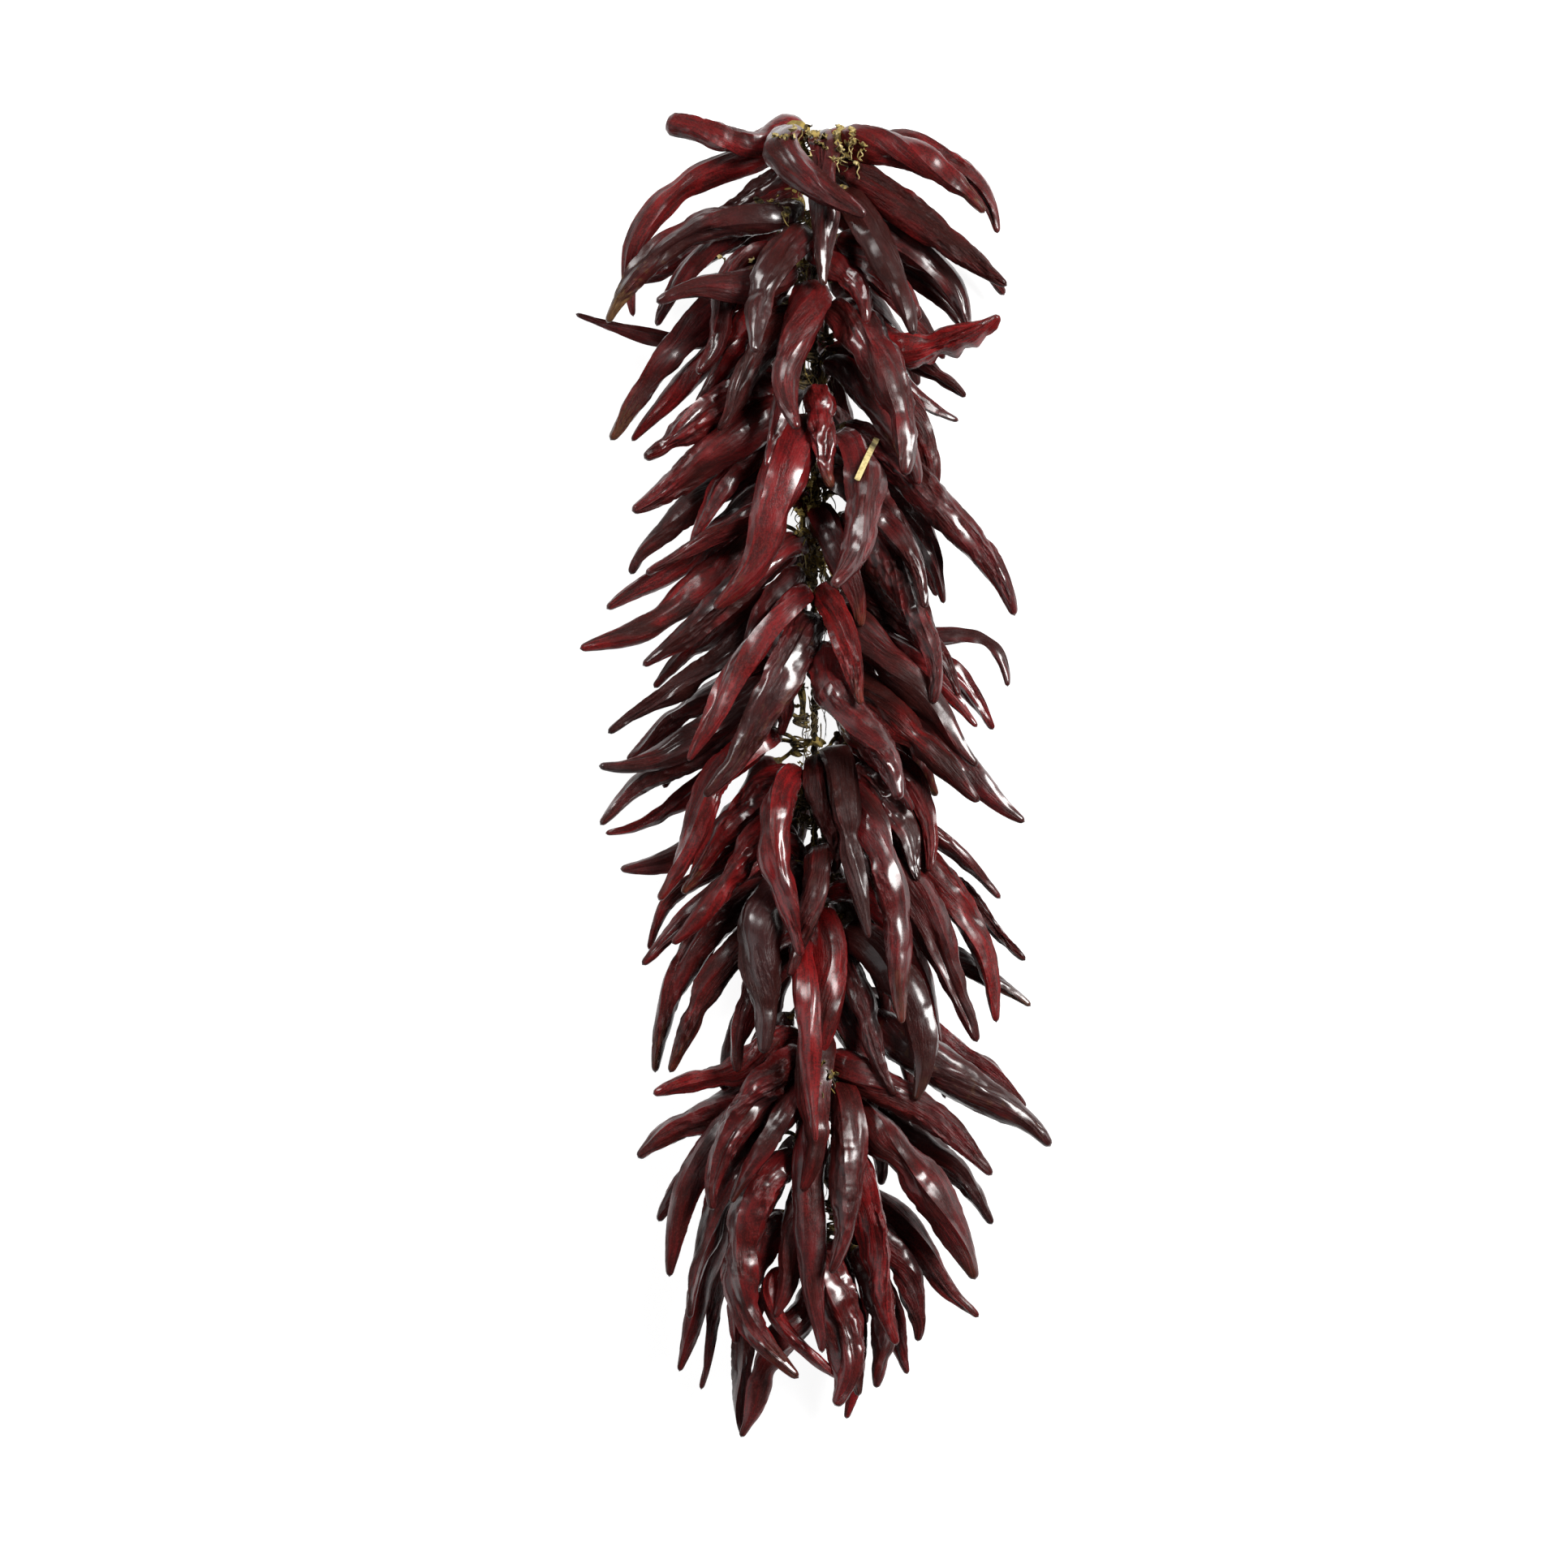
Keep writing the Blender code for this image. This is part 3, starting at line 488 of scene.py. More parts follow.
def pod_places(pod):
    """Where the skin's vertices lie, and how near a ridge and how deep in a fold each of them is."""
    own, size = pod["character"], pod["half_width"] * PLUMPER
    rng = np.random.default_rng(5000 + pod["number"])
    line = skin_line(pod)
    length = length_of(line)
    share, turn, reach, column = (POD_TUBE[key] for key in ("share", "turn", "reach", "column"))
    middle, across, up = carried_to(line, pod["wide"], share)
    # Places on the skin in units of 10 mm, for the waves, and the same drawn out lengthways.
    skin = np.stack([share * length * 100, np.cos(turn) * size * 100, np.sin(turn) * size * 100], axis=1)
    drawn = skin * np.array([0.3, 1.0, 1.0])
    body = np.clip(share / 0.06, 0, 1) * np.clip((1 - share) / 0.1, 0, 1)
    # The ridges wander round the pod together, and a little against each other.
    wander = rng.uniform(0.5, 1.3) * share + rng.uniform()
    angle = turn + math.radians(own["twist"]) * (share - 0.35) + 0.3 * np.sin(math.tau * wander) * body
    angle = angle + 0.3 * np.sin(angle + 4 * share + rng.uniform(0, 6))
    ridges = ridge_columns(rng, own["ridges"])
    sag = (1 - panels(rng, ridges, own["panel"]))[column]
    sag = sag * np.clip(0.8 + 0.4 * swell(skin * 0.35, wave_bank(rng, 6, 0.4, 1.0)), 0.2, 1.3)
    sunk = folded_in(rng, own, share, turn, length)
    long_creases = creases(drawn, wave_bank(rng, 12, 0.45, 1.0))
    crumple = crumples(skin * np.array([0.55, 1.0, 1.0]), wave_bank(rng, 10, 0.5, 1.1))
    puckers = creases(skin * np.array([1.0, 0.5, 0.5]), wave_bank(rng, 14, 0.8, 1.6))
    patch = np.clip(0.6 + 0.8 * swell(skin * 0.3, wave_bank(rng, 6, 0.4, 1.0)), 0.1, 1.5)
    fine = swell(skin, wave_bank(rng, 14, 1.2, 2.4))
    radius = 1 - body * (
        sag
        + sunk
        + (0.03 + 0.06 * own["wrinkle"]) * long_creases
        + 0.22 * own["crumple"] ** 1.5 * patch * crumple
        + 0.07 * own["wrinkle"] * patch * puckers
        + 0.012 * fine
    )
    outline = profile_at(share, own["blunt"]) * (1 + 0.05 * swell(skin * 0.25, wave_bank(rng, 5, 0.3, 0.9)))
    for _ in range(2):
        depth = own["pinch"] * rng.uniform(0.3, 1)
        outline *= 1 - depth * np.exp(-((share - rng.uniform(0.3, 0.95)) / 0.05) ** 2)
    flat = own["flat"] + (0.92 - own["flat"]) * np.clip(np.abs(share - 0.45) * 2.1 - 0.35, 0, 1)
    teeth = np.abs((share * 7.5) % 1 - 0.5) * 2 * np.clip((share - 0.25) / 0.2, 0, 1)
    jag = 1 + own["jag"] * teeth * np.clip(np.cos(angle), 0, 1) ** 2
    ring = (np.clip(radius, 0.3, 1.12) * jag * outline * size * reach)[:, None]
    places = middle + ring * (np.cos(angle)[:, None] * across + np.sin(angle)[:, None] * up * flat[:, None])
    places[:, 2] = np.maximum(places[:, 2], FLOOR)
    facts = {"length": length, "skin": skin, "drawn": drawn, "ridges": ridges}
    facts["relief"] = np.clip(0.25 + 0.75 * own["wrinkle"] * patch, 0, 1)
    # The edge, sunk and folds masks only colour the skin: edge paints light along the ridges as a redder
    # skin, and sunk and folds paint shade into the folds, creases and puckers.
    facts["edge"] = np.isin(column, ridges) * body
    facts["sunk"] = np.clip(sunk * 2.2 + 0.5 * long_creases, 0, 1.2) * body
    facts["folds"] = puckers * own["wrinkle"] * patch
    return places, facts


# %% Colour masks of one pod
def pod_look(pod, facts):
    """Redness, darkness, tan and sheen of the skin at each vertex, as the four parts of one colour."""
    own = pod["character"]
    rng = np.random.default_rng(9000 + pod["number"])
    share, turn = POD_TUBE["share"], POD_TUBE["turn"]
    cloud = swell(facts["skin"] * 0.35, wave_bank(rng, 8, 0.4, 1.1))
    streak = swell(facts["drawn"] * 1.3, wave_bank(rng, 10, 0.5, 1.4))
    shoulder = np.clip(1 - share / 0.25, 0, 1)
    # Painted light: the thin flat edges and the ridges are made redder, as light shining through the thin
    # skin would make them. The rest of the redness is the pod's own colour.
    painted_edge_glow = np.abs(np.cos(turn)) ** 6
    red = own["red"] + 0.3 * shoulder + 0.12 * painted_edge_glow + 0.2 * cloud + 0.16 * streak + 0.16 * facts["edge"]
    dark = own["dark"] + 0.22 * swell(facts["skin"] * 0.3, wave_bank(rng, 8, 0.3, 0.9)) - 0.14 * streak
    # Painted shade: the skin is drawn darker deep in the folds and creases and in the puckers.
    dark = dark + 0.45 * facts["sunk"] + 0.25 * facts["folds"]
    mottle = swell(facts["skin"], wave_bank(rng, 16, 0.6, 2.0))
    tan = own["tan"] * np.clip(mottle * 1.6 - 0.5, 0, 1)
    tan = tan + own["tip_tan"] * np.clip((share - 0.74) / 0.2 + 0.35 * mottle, 0, 1)
    sheen = own["sheen"] * np.clip(0.6 + 0.8 * cloud, 0, 1)
    return np.clip(np.stack([red, dark, tan, sheen], axis=1), 0, 1)


# %% [markdown]
# At the top of each pod sits its cap, the dried calyx: a small olive-brown cup with a ragged rim that hugs
# the shoulders. From it the stem runs back to the knot, ridged and a little swollen at its far end. Both are
# the same rolled tube with other radii.

# %% Shape a cap and a stem
CAP_SHARES = (0.0, 0.12, 0.3, 0.5, 0.66, 0.8, 0.9, 0.96, 1.0)
CAP_RADII = (0.2, 0.24, 0.36, 0.58, 0.72, 0.8, 0.82, 0.74, 0.3)
CAP_LENGTH = 0.009
CAP_WIDTH = 0.72
STEM_POINTS = 40


def crown_share(place):
    """1 at the upper end of the string, where the caps are large and pale, and 0 further down."""
    return float(np.interp(cord_high.y - place[1], (0.0, 0.035, 0.06), (1.0, 1.0, 0.0)))


def cap_places(pod, line):
    """The cap over the first stretch of the pod's line: a shallow cup with a ragged rim."""
    size = pod["half_width"]
    rng = np.random.default_rng(300 + pod["number"])
    share, turn, reach = CAP_TUBE["share"], CAP_TUBE["turn"], CAP_TUBE["reach"]
    ahead, wide, thin = frames_along(line, pod["wide"])
    start, way, side, up = line[0], ahead[2], wide[2], thin[2]
    ragged = 1 + 0.12 * np.sin(5 * turn + rng.uniform(0, 6)) * share + 0.05 * np.sin(9 * turn) * share
    bold = crown_share(line[0])
    radius = np.interp(share, CAP_SHARES, CAP_RADII) * size * reach * CAP_WIDTH * (1 + 0.5 * bold)
    along = (share * CAP_LENGTH * (1 + 0.6 * bold) - 0.0035) * ragged
    return (start + way * along[:, None] + side * (radius * np.cos(turn))[:, None]
            + up * (radius * np.sin(turn) * 0.88)[:, None])


def stem_places(pod, line):
    """The stem from inside the knot to inside the cap."""
    rng = np.random.default_rng(700 + pod["number"])
    ahead = unit(line[3] - line[0])
    gap = np.linalg.norm(line[0] - pod["knot"])
    bend = pod["knot"] * 0.45 + line[0] * 0.55 - ahead * gap * 0.12
    route = np.array([pod["knot"], bend, line[0] + ahead * 0.001])
    route[1] += rng.uniform(-1, 1, 3) * gap * 0.05
    route = smooth_line(route, STEM_POINTS)
    _, wide, thin = frames_along(route, pod["wide"])
    share, turn, reach = STEM_TUBE["share"], STEM_TUBE["turn"], STEM_TUBE["reach"]
    low = (share * (STEM_POINTS - 1)).astype(int)
    radius = np.interp(share, (0, 0.1, 0.4, 0.8, 1), (0.0021, 0.0019, 0.0014, 0.0015, 0.0022))
    radius = radius * reach * (1 + 0.14 * np.cos(3 * turn + 5 * share))
    return (route[low] + wide[low] * (radius * np.cos(turn))[:, None]
            + thin[low] * (radius * np.sin(turn))[:, None])


# %% [markdown]
# Where three stems meet they are wound together and to the cord with thin twine. One ring of twine is spun
# once, and each knot gets a few copies of it, tipped at slightly different angles so that they look wound.

# %% One ring of twine
def touching(verts, kind):
    """The edges or faces at these vertices, each once and always in the same order."""
    return list(dict.fromkeys(item for vert in verts for item in getattr(vert, kind)))


def twine_ring(radius, thickness):
    """A closed ring of twine round the Y axis."""
    shape = bmesh.new()
    skin = shape.loops.layers.uv.new("skin")
    made = bmesh.ops.create_circle(shape, segments=6, radius=thickness,
                                   matrix=Matrix.Translation((radius, 0, 0)))
    edges = touching(made["verts"], "link_edges")
    bmesh.ops.spin(shape, geom=made["verts"] + edges, cent=(0, 0, 0), axis=(0, 1, 0), angle=math.tau,
                   steps=14, use_merge=True)
    bmesh.ops.remove_doubles(shape, verts=shape.verts, dist=1e-6)
    bmesh.ops.recalc_face_normals(shape, faces=shape.faces)
    for face in shape.faces:
        for loop in face.loops:
            loop[skin].uv = (loop.vert.co.x, loop.vert.co.y)
    mesh = bpy.data.meshes.new("twine_ring")
    shape.to_mesh(mesh)
    shape.free()
    return mesh


TWINE_RING = twine_ring(0.005, 0.0008)
print("a ring of twine has", len(TWINE_RING.polygons), "faces")


def wound_rings(knot, number):
    rng = random.Random(f"knot {number}")
    made = []
    for k in range(5):
        ring = TWINE_RING.copy()
        tip = Matrix.Rotation(rng.uniform(-0.5, 0.5), 4, "X")
        tip = tip @ Matrix.Rotation(rng.uniform(-0.5, 0.5), 4, "Z")
        size = rng.uniform(0.8, 1.15)
        place = Matrix.Translation(Vector(knot) + Vector((0, (k - 2) * 0.0015, 0)))
        ring.transform(place @ tip @ Matrix.Scale(size, 4))
        layer = ring.color_attributes.new(name="look", type="FLOAT_COLOR", domain="POINT")
        layer.data.foreach_set("color", [rng.uniform(0.2, 0.8)] * 4 * len(ring.vertices))
        ring.polygons.foreach_set("material_index", np.full(len(ring.polygons), 2, np.int32))
        made.append(ring)
    return made


# %% [markdown]
# Materials. The skin of a dried chilli is thin, leathery and slightly waxy. Its colour runs from black-brown
# over oxblood to a clear dark red, and it has a broad soft shine. Painted light is mixed into that colour: a
# brighter red where light would shine through the thin skin, painted shade in the folds, and a faint
# greyish-pink painted sheen.
# One group mixes the colour from the masks stored on each pod, and adds the fine speckle, so that all skins
# share it and differ only in their values.

# %% Small helpers for materials
def socket(node, name, value):
    node.inputs[name].default_value = value


def new_material(name, colour, roughness):
    material = bpy.data.materials.new(name)
    material.use_nodes = True
    shader = material.node_tree.nodes["Principled BSDF"]
    socket(shader, "Base Color", (*colour, 1))
    socket(shader, "Roughness", roughness)
    return material, material.node_tree, shader


def mixed(tree, factor, first, second):
    """A node that mixes two colours; each input is a colour or a socket."""
    node = tree.nodes.new("ShaderNodeMix")
    node.data_type = "RGBA"
    for index, value in ((0, factor), (6, first), (7, second)):
        if isinstance(value, (tuple, float, int)):
            node.inputs[index].default_value = (*value, 1) if isinstance(value, tuple) else value
        else:
            tree.links.new(value, node.inputs[index])
    return node.outputs[2]


def ramp(tree, value, low, high):
    """0 below low, 1 above high."""
    node = tree.nodes.new("ShaderNodeMapRange")
    node.interpolation_type = "SMOOTHSTEP"
    socket(node, "From Min", low)
    socket(node, "From Max", high)
    tree.links.new(value, node.inputs["Value"])
    return node.outputs["Result"]


def noise(tree, vector, scale, detail, roughness=0.55):
    node = tree.nodes.new("ShaderNodeTexNoise")
    socket(node, "Scale", scale)
    socket(node, "Detail", detail)
    socket(node, "Roughness", roughness)
    tree.links.new(vector, node.inputs["Vector"])
    return node.outputs["Fac"]


def maths(tree, operation, first, second):
    node = tree.nodes.new("ShaderNodeMath")
    node.operation = operation
    for index, value in enumerate((first, second)):
        if isinstance(value, (float, int)):
            node.inputs[index].default_value = value
        else:
            tree.links.new(value, node.inputs[index])
    return node.outputs[0]


# %% The group that colours dried skin
def dried_skin_group():
    group = bpy.data.node_groups.new("dried_skin", "ShaderNodeTree")
    for name, kind in (("Red", "Float"), ("Dark", "Float"), ("Tan", "Float"), ("Sheen", "Float"),
                       ("Place", "Vector"), ("Along Skin", "Vector"),
                       ("Speckle", "Float"), ("Relief", "Float")):
        group.interface.new_socket(name=name, in_out="INPUT", socket_type=f"NodeSocket{kind}")
    for name, kind in (("Colour", "Color"), ("Roughness", "Float"), ("Coat", "Float"), ("Height", "Float")):
        group.interface.new_socket(name=name, in_out="OUTPUT", socket_type=f"NodeSocket{kind}")
    inside = group.nodes.new("NodeGroupInput").outputs
    outside = group.nodes.new("NodeGroupOutput").inputs
    drawn = group.nodes.new("ShaderNodeMapping")
    socket(drawn, "Scale", (0.2, 1.0, 1.0))
    group.links.new(inside["Along Skin"], drawn.inputs["Vector"])
    blotch = noise(group, inside["Place"], 90, 3)
    grain = noise(group, inside["Place"], 700, 3, 0.7)
    streaks = noise(group, drawn.outputs["Vector"], 240, 4, 0.62)
    # Colour: black-brown, oxblood and clear dark red, with fine pale specks and ochre at some tips.
    uneven = maths(group, "SUBTRACT", maths(group, "ADD", blotch, streaks), 1.0)
    # The Red mask carries painted light through thin skin as well as the pod's own redness, and the Dark mask
    # carries painted shade in the folds as well as the pod's own darkness.
    red = maths(group, "ADD", inside["Red"], maths(group, "MULTIPLY", uneven, 0.32))
    colour = mixed(group, ramp(group, red, 0.0, 0.6), (0.042, 0.0046, 0.004), (0.088, 0.0042, 0.0042))
    colour = mixed(group, ramp(group, red, 0.5, 1.1), colour, (0.175, 0.0046, 0.0052))
    dark = maths(group, "SUBTRACT", inside["Dark"], maths(group, "MULTIPLY", uneven, 0.35))
    colour = mixed(group, ramp(group, dark, 0.25, 1.0), colour, (0.026, 0.0046, 0.0036))
    mottle = maths(group, "SUBTRACT", 1.0, ramp(group, maths(group, "ADD", streaks, grain), 0.84, 1.1))
    colour = mixed(group, maths(group, "MULTIPLY", mottle, 0.7), colour, (0.018, 0.0038, 0.0032))
    speckle = maths(group, "MULTIPLY", ramp(group, grain, 0.56, 0.7), inside["Speckle"])
    colour = mixed(group, speckle, colour, (0.085, 0.032, 0.026))
    tan = mixed(group, blotch, (0.13, 0.085, 0.032), (0.16, 0.068, 0.028))
    colour = mixed(group, ramp(group, inside["Tan"], 0.1, 1.0), colour, tan)
    # Painted sheen: a little greyish pink is mixed in where the Sheen mask is high, standing in for the
    # reflection of the pale surroundings.
    painted_sheen = maths(group, "MULTIPLY", inside["Sheen"], 0.08)
    colour = mixed(group, painted_sheen, colour, (0.1, 0.045, 0.055))
    group.links.new(colour, outside["Colour"])
    # Shine: broad and soft where the skin is dull, tighter where it is waxy.
    rough = maths(group, "ADD", 0.34, maths(group, "MULTIPLY", blotch, 0.2))
    rough = maths(group, "SUBTRACT", rough, maths(group, "MULTIPLY", inside["Sheen"], 0.08))
    group.links.new(rough, outside["Roughness"])
    group.links.new(ramp(group, maths(group, "ADD", inside["Sheen"], blotch), 0.3, 1.2), outside["Coat"])
    # Height: fine lengthways wrinkles, and a net of shallow puckers in patches.
    net = group.nodes.new("ShaderNodeTexVoronoi")
    net.feature = "SMOOTH_F1"
    socket(net, "Scale", 180)
    socket(net, "Smoothness", 0.35)
    half_drawn = group.nodes.new("ShaderNodeMapping")
    socket(half_drawn, "Scale", (0.6, 1.0, 1.0))
    group.links.new(inside["Along Skin"], half_drawn.inputs["Vector"])
    group.links.new(half_drawn.outputs["Vector"], net.inputs["Vector"])
    puckers = maths(group, "MULTIPLY", net.outputs["Distance"], ramp(group, inside["Relief"], 0.35, 1.0))
    height = maths(group, "MULTIPLY", streaks, 1.3)
    height = maths(group, "ADD", height, maths(group, "MULTIPLY", puckers, 2.4))
    height = maths(group, "MULTIPLY", height, maths(group, "ADD", inside["Relief"], 0.42))
    height = maths(group, "ADD", height, maths(group, "MULTIPLY", grain, 0.06))
    group.links.new(height, outside["Height"])
    return group


DRIED_SKIN = dried_skin_group()


# %% Skin, cap, stem and twine materials
def skin_material(name, colour, speckle, relief):
    material, tree, shader = new_material(name, colour, 0.4)
    group = tree.nodes.new("ShaderNodeGroup")
    group.node_tree = DRIED_SKIN
    socket(group, "Speckle", speckle)
    masks = tree.nodes.new("ShaderNodeAttribute")
    masks.attribute_name = "look"
    split = tree.nodes.new("ShaderNodeSeparateColor")
    tree.links.new(masks.outputs["Color"], split.inputs["Color"])
    for source, target in (("Red", "Red"), ("Green", "Dark"), ("Blue", "Tan")):
        tree.links.new(split.outputs[source], group.inputs[target])
    tree.links.new(masks.outputs["Alpha"], group.inputs["Sheen"])
    where = tree.nodes.new("ShaderNodeTexCoord")
    tree.links.new(where.outputs["Object"], group.inputs["Place"])
    own = tree.nodes.new("ShaderNodeAttribute")
    own.attribute_name = "along_skin"
    tree.links.new(own.outputs["Vector"], group.inputs["Along Skin"])
    relief_mask = tree.nodes.new("ShaderNodeAttribute")
    relief_mask.attribute_name = "relief"
    tree.links.new(relief_mask.outputs["Fac"], group.inputs["Relief"])
    bump = tree.nodes.new("ShaderNodeBump")
    socket(bump, "Strength", relief)
    socket(bump, "Distance", 0.0026)
    tree.links.new(group.outputs["Height"], bump.inputs["Height"])
    tree.links.new(bump.outputs["Normal"], shader.inputs["Normal"])
    tree.links.new(group.outputs["Colour"], shader.inputs["Base Color"])
    tree.links.new(group.outputs["Roughness"], shader.inputs["Roughness"])
    tree.links.new(group.outputs["Coat"], shader.inputs["Coat Weight"])
    socket(shader, "Coat Roughness", 0.2)
    socket(shader, "Specular IOR Level", 0.14)
    return material


def fibre_material(name, light, deep, scale):
    """A matt plant fibre, streaked between a light and a deep colour."""
    material, tree, shader = new_material(name, light, 0.7)
    where = tree.nodes.new("ShaderNodeTexCoord")
    streaks = noise(tree, where.outputs["Object"], scale, 3)
    masks = tree.nodes.new("ShaderNodeAttribute")
    masks.attribute_name = "look"
    split = tree.nodes.new("ShaderNodeSeparateColor")
    tree.links.new(masks.outputs["Color"], split.inputs["Color"])
    age = maths(tree, "SUBTRACT", split.outputs["Red"], 0.5)
    factor = maths(tree, "ADD", ramp(tree, streaks, 0.35, 0.65), age)
    tree.links.new(mixed(tree, factor, light, deep), shader.inputs["Base Color"])
    bump = tree.nodes.new("ShaderNodeBump")
    socket(bump, "Strength", 0.5)
    socket(bump, "Distance", 0.0004)
    tree.links.new(streaks, bump.inputs["Height"])
    tree.links.new(bump.outputs["Normal"], shader.inputs["Normal"])
    return material


SKINS = {
    "oxblood_skin": skin_material("oxblood_skin", (0.07, 0.0075, 0.007), 0.2, 0.5),
    "maroon_skin": skin_material("maroon_skin", (0.05, 0.0075, 0.008), 0.3, 0.6),
    "black_brown_skin": skin_material("black_brown_skin", (0.02, 0.007, 0.007), 0.45, 0.75),
}
STEM = fibre_material("dry_stem", (0.3, 0.215, 0.05), (0.04, 0.026, 0.01), 260)
TWINE = fibre_material("cord_fibre", (0.13, 0.09, 0.03), (0.022, 0.014, 0.007), 500)
STRAW = fibre_material("pale_straw", (0.55, 0.45, 0.2), (0.2, 0.14, 0.035), 300)
print(len(SKINS), "skins")

# %% [markdown]
# Now each bunch is put together: three skins, three caps, three stems and the windings, joined into one mesh
# with three materials. The bunch is one piece because the three pods are tied by their stems and move as one.

# %% Build the bunches
def joined_piece(name, meshes, materials):
    shape = bmesh.new()
    for mesh in meshes:
        shape.from_mesh(mesh)
        bpy.data.meshes.remove(mesh)
    joined = bpy.data.meshes.new(name)
    shape.to_mesh(joined)
    shape.free()
    for material in materials:
        joined.materials.append(material)
    joined.shade_smooth()
    piece = bpy.data.objects.new(name, joined)
    bpy.context.scene.collection.objects.link(piece)
    return piece


def flat_look(tube, value):
    return np.full((len(tube["share"]), 4), value)


def build_bunch(name, bunch, slot):
    rng = random.Random(name)
    meshes = []
    for pod in bunch:
        line = skin_line(pod)
        places, facts = pod_places(pod)
        around = 5.2 * pod["half_width"]
        own_skin = facts["skin"] * 0.01 + np.array([pod["number"] * 0.37, 0, 0])
        look = pod_look(pod, facts)
        meshes.append(shaped_copy(POD_TUBE, places, look, 0, around, facts["length"], own_skin,
                                  facts["ridges"], facts["relief"]))
        age = rng.uniform(0.35, 0.95) - 0.6 * crown_share(line[0])
        for tube, at, round_it, run in ((CAP_TUBE, cap_places(pod, line), 0.03, 0.01),
                                        (STEM_TUBE, stem_places(pod, line), 0.01, 0.03)):
            meshes.append(shaped_copy(tube, at, flat_look(tube, age), 1, round_it, run))
    meshes += wound_rings(bunch[0]["knot"], name)
    piece = joined_piece(name + "_pods", meshes, (SKINS[slot], STEM, TWINE))
    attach(piece, "root")
    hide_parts(name)
    return piece


slot_of = {part["node"]: part["material_slot"] for part in frame["record"]["subparts"]}
made = [build_bunch(name, bunch, slot_of[name]) for name, bunch in zip(BUNCHES, bunches)]
faces = sum(len(face.vertices) - 2 for piece in made for face in piece.data.polygons)
print(len(made), "bunches made, with", faces, "triangles")

# %% [markdown]
# The cord is three strands twisted round each other. A small circle set off from the axis and spun while it
# climbs makes one strand, as a screw thread is made, and two copies turned by a third of a turn complete it.

# %% Twisted cord
STRAND = 0.00145
LAY = 0.017
STEPS_PER_TURN = 10


def twisted_cord():
    shape = bmesh.new()
    skin = shape.loops.layers.uv.new("skin")
    turns = (cord_high.y - cord_low.y) / LAY
    steps = round(turns * STEPS_PER_TURN)
    for third in range(3):
        turn = Matrix.Rotation(math.tau * third / 3, 4, "Y")
        made = bmesh.ops.create_circle(shape, segments=7, radius=STRAND, cap_ends=True,
                                       matrix=turn @ Matrix.Translation((STRAND * 0.95, 0, 0)))
        geometry = made["verts"] + touching(made["verts"], "link_edges")
        geometry += touching(made["verts"], "link_faces")
        bmesh.ops.spin(shape, geom=geometry, cent=(0, 0, 0), axis=(0, 1, 0), angle=math.tau * turns,
                       steps=steps, dvec=(0, (cord_high.y - cord_low.y) / steps, 0))
    bmesh.ops.recalc_face_normals(shape, faces=shape.faces)
    for face in shape.faces:
        for loop in face.loops:
            loop[skin].uv = (loop.vert.co.x, loop.vert.co.y)
    bmesh.ops.translate(shape, verts=shape.verts, vec=(CORD_X, cord_low.y, CORD_Z))
    mesh = bpy.data.meshes.new("cord_strands")
    shape.to_mesh(mesh)
    shape.free()
    mesh.shade_smooth()
    layer = mesh.color_attributes.new(name="look", type="FLOAT_COLOR", domain="POINT")
    layer.data.foreach_set("color", [0.6] * 4 * len(mesh.vertices))
    return mesh


# %% [markdown]
# Loose fibres set off along the cord and stray from it, and dry scraps of calyx stick out between them. Some
# of both lie in clumps on the pods near the crown, where a ray cast straight down finds the height to lay
# them at.

# %% Loose fibres and husks round the cord
FIBRE_TUBE = rolled_tube("fibre", 5, 12, lambda share: share)
HUSK_TUBE = rolled_tube("husk", 10, 10, lambda share: share)
FIBRE_POINTS = 30
HUSK_THICKNESS = 0.0003


def fibre(rng, start, turn, length, thickness, value, slot):
    """A thin wavy fibre that sets off along the cord and strays from it."""
    outwards = np.array([math.cos(turn), 0.0, math.sin(turn)])
    sideways = np.array([-math.sin(turn), 0.0, math.cos(turn)])
    knots = np.linspace(0, 1, 5)[:, None]
    route = start + np.array([0.0, -length, 0.0]) * knots + outwards * rng.uniform(-0.001, 0.006) * knots
    route = route + sideways * rng.normal(0, 0.0022, (5, 1))
    route = route + outwards * np.abs(rng.normal(0, 0.0012, (5, 1)))
    route = smooth_line(route, FIBRE_POINTS)
    _, wide, thin = frames_along(route, sideways)
    share, around = FIBRE_TUBE["share"], FIBRE_TUBE["turn"]
    at = (share * (FIBRE_POINTS - 1)).astype(int)
    radius = FIBRE_TUBE["reach"] * thickness * (1 - 0.5 * share)
    places = (route[at] + wide[at] * (radius * np.cos(around))[:, None]
              + thin[at] * (radius * np.sin(around))[:, None])
    return shaped_copy(FIBRE_TUBE, places, flat_look(FIBRE_TUBE, value), slot, 0.004, length)


def husk(rng, start, turn, size, value, slot):
    """A dry scrap of calyx: a small cupped and crumpled leaf that points away from the cord."""
    away = unit(np.array([math.cos(turn), rng.uniform(-0.9, 0.4), math.sin(turn)]))
    side = unit(np.cross(away, rng.normal(0, 1, 3)))
    up = np.cross(side, away)
    share, around, reach = HUSK_TUBE["share"], HUSK_TUBE["turn"], HUSK_TUBE["reach"]
    width = size * rng.uniform(0.16, 0.34)
    width = width * np.interp(share, (0, 0.15, 0.5, 0.85, 1), (0.25, 0.7, 1, 0.75, 0.3))
    width = width * (1 + 0.2 * np.sin(share * 7 + rng.uniform(0, 6)))
    across = width * np.cos(around) * reach
    curl = rng.uniform(1.5, 3.5) * across**2 / size + 0.16 * size * np.sin(share * 9 + across / size * 12)
    rise = HUSK_THICKNESS * np.sin(around) * reach + curl
    places = start + away * (share * size)[:, None] + side * across[:, None] + up * rise[:, None]
    return shaped_copy(HUSK_TUBE, places, flat_look(HUSK_TUBE, value), slot, 0.008, size)


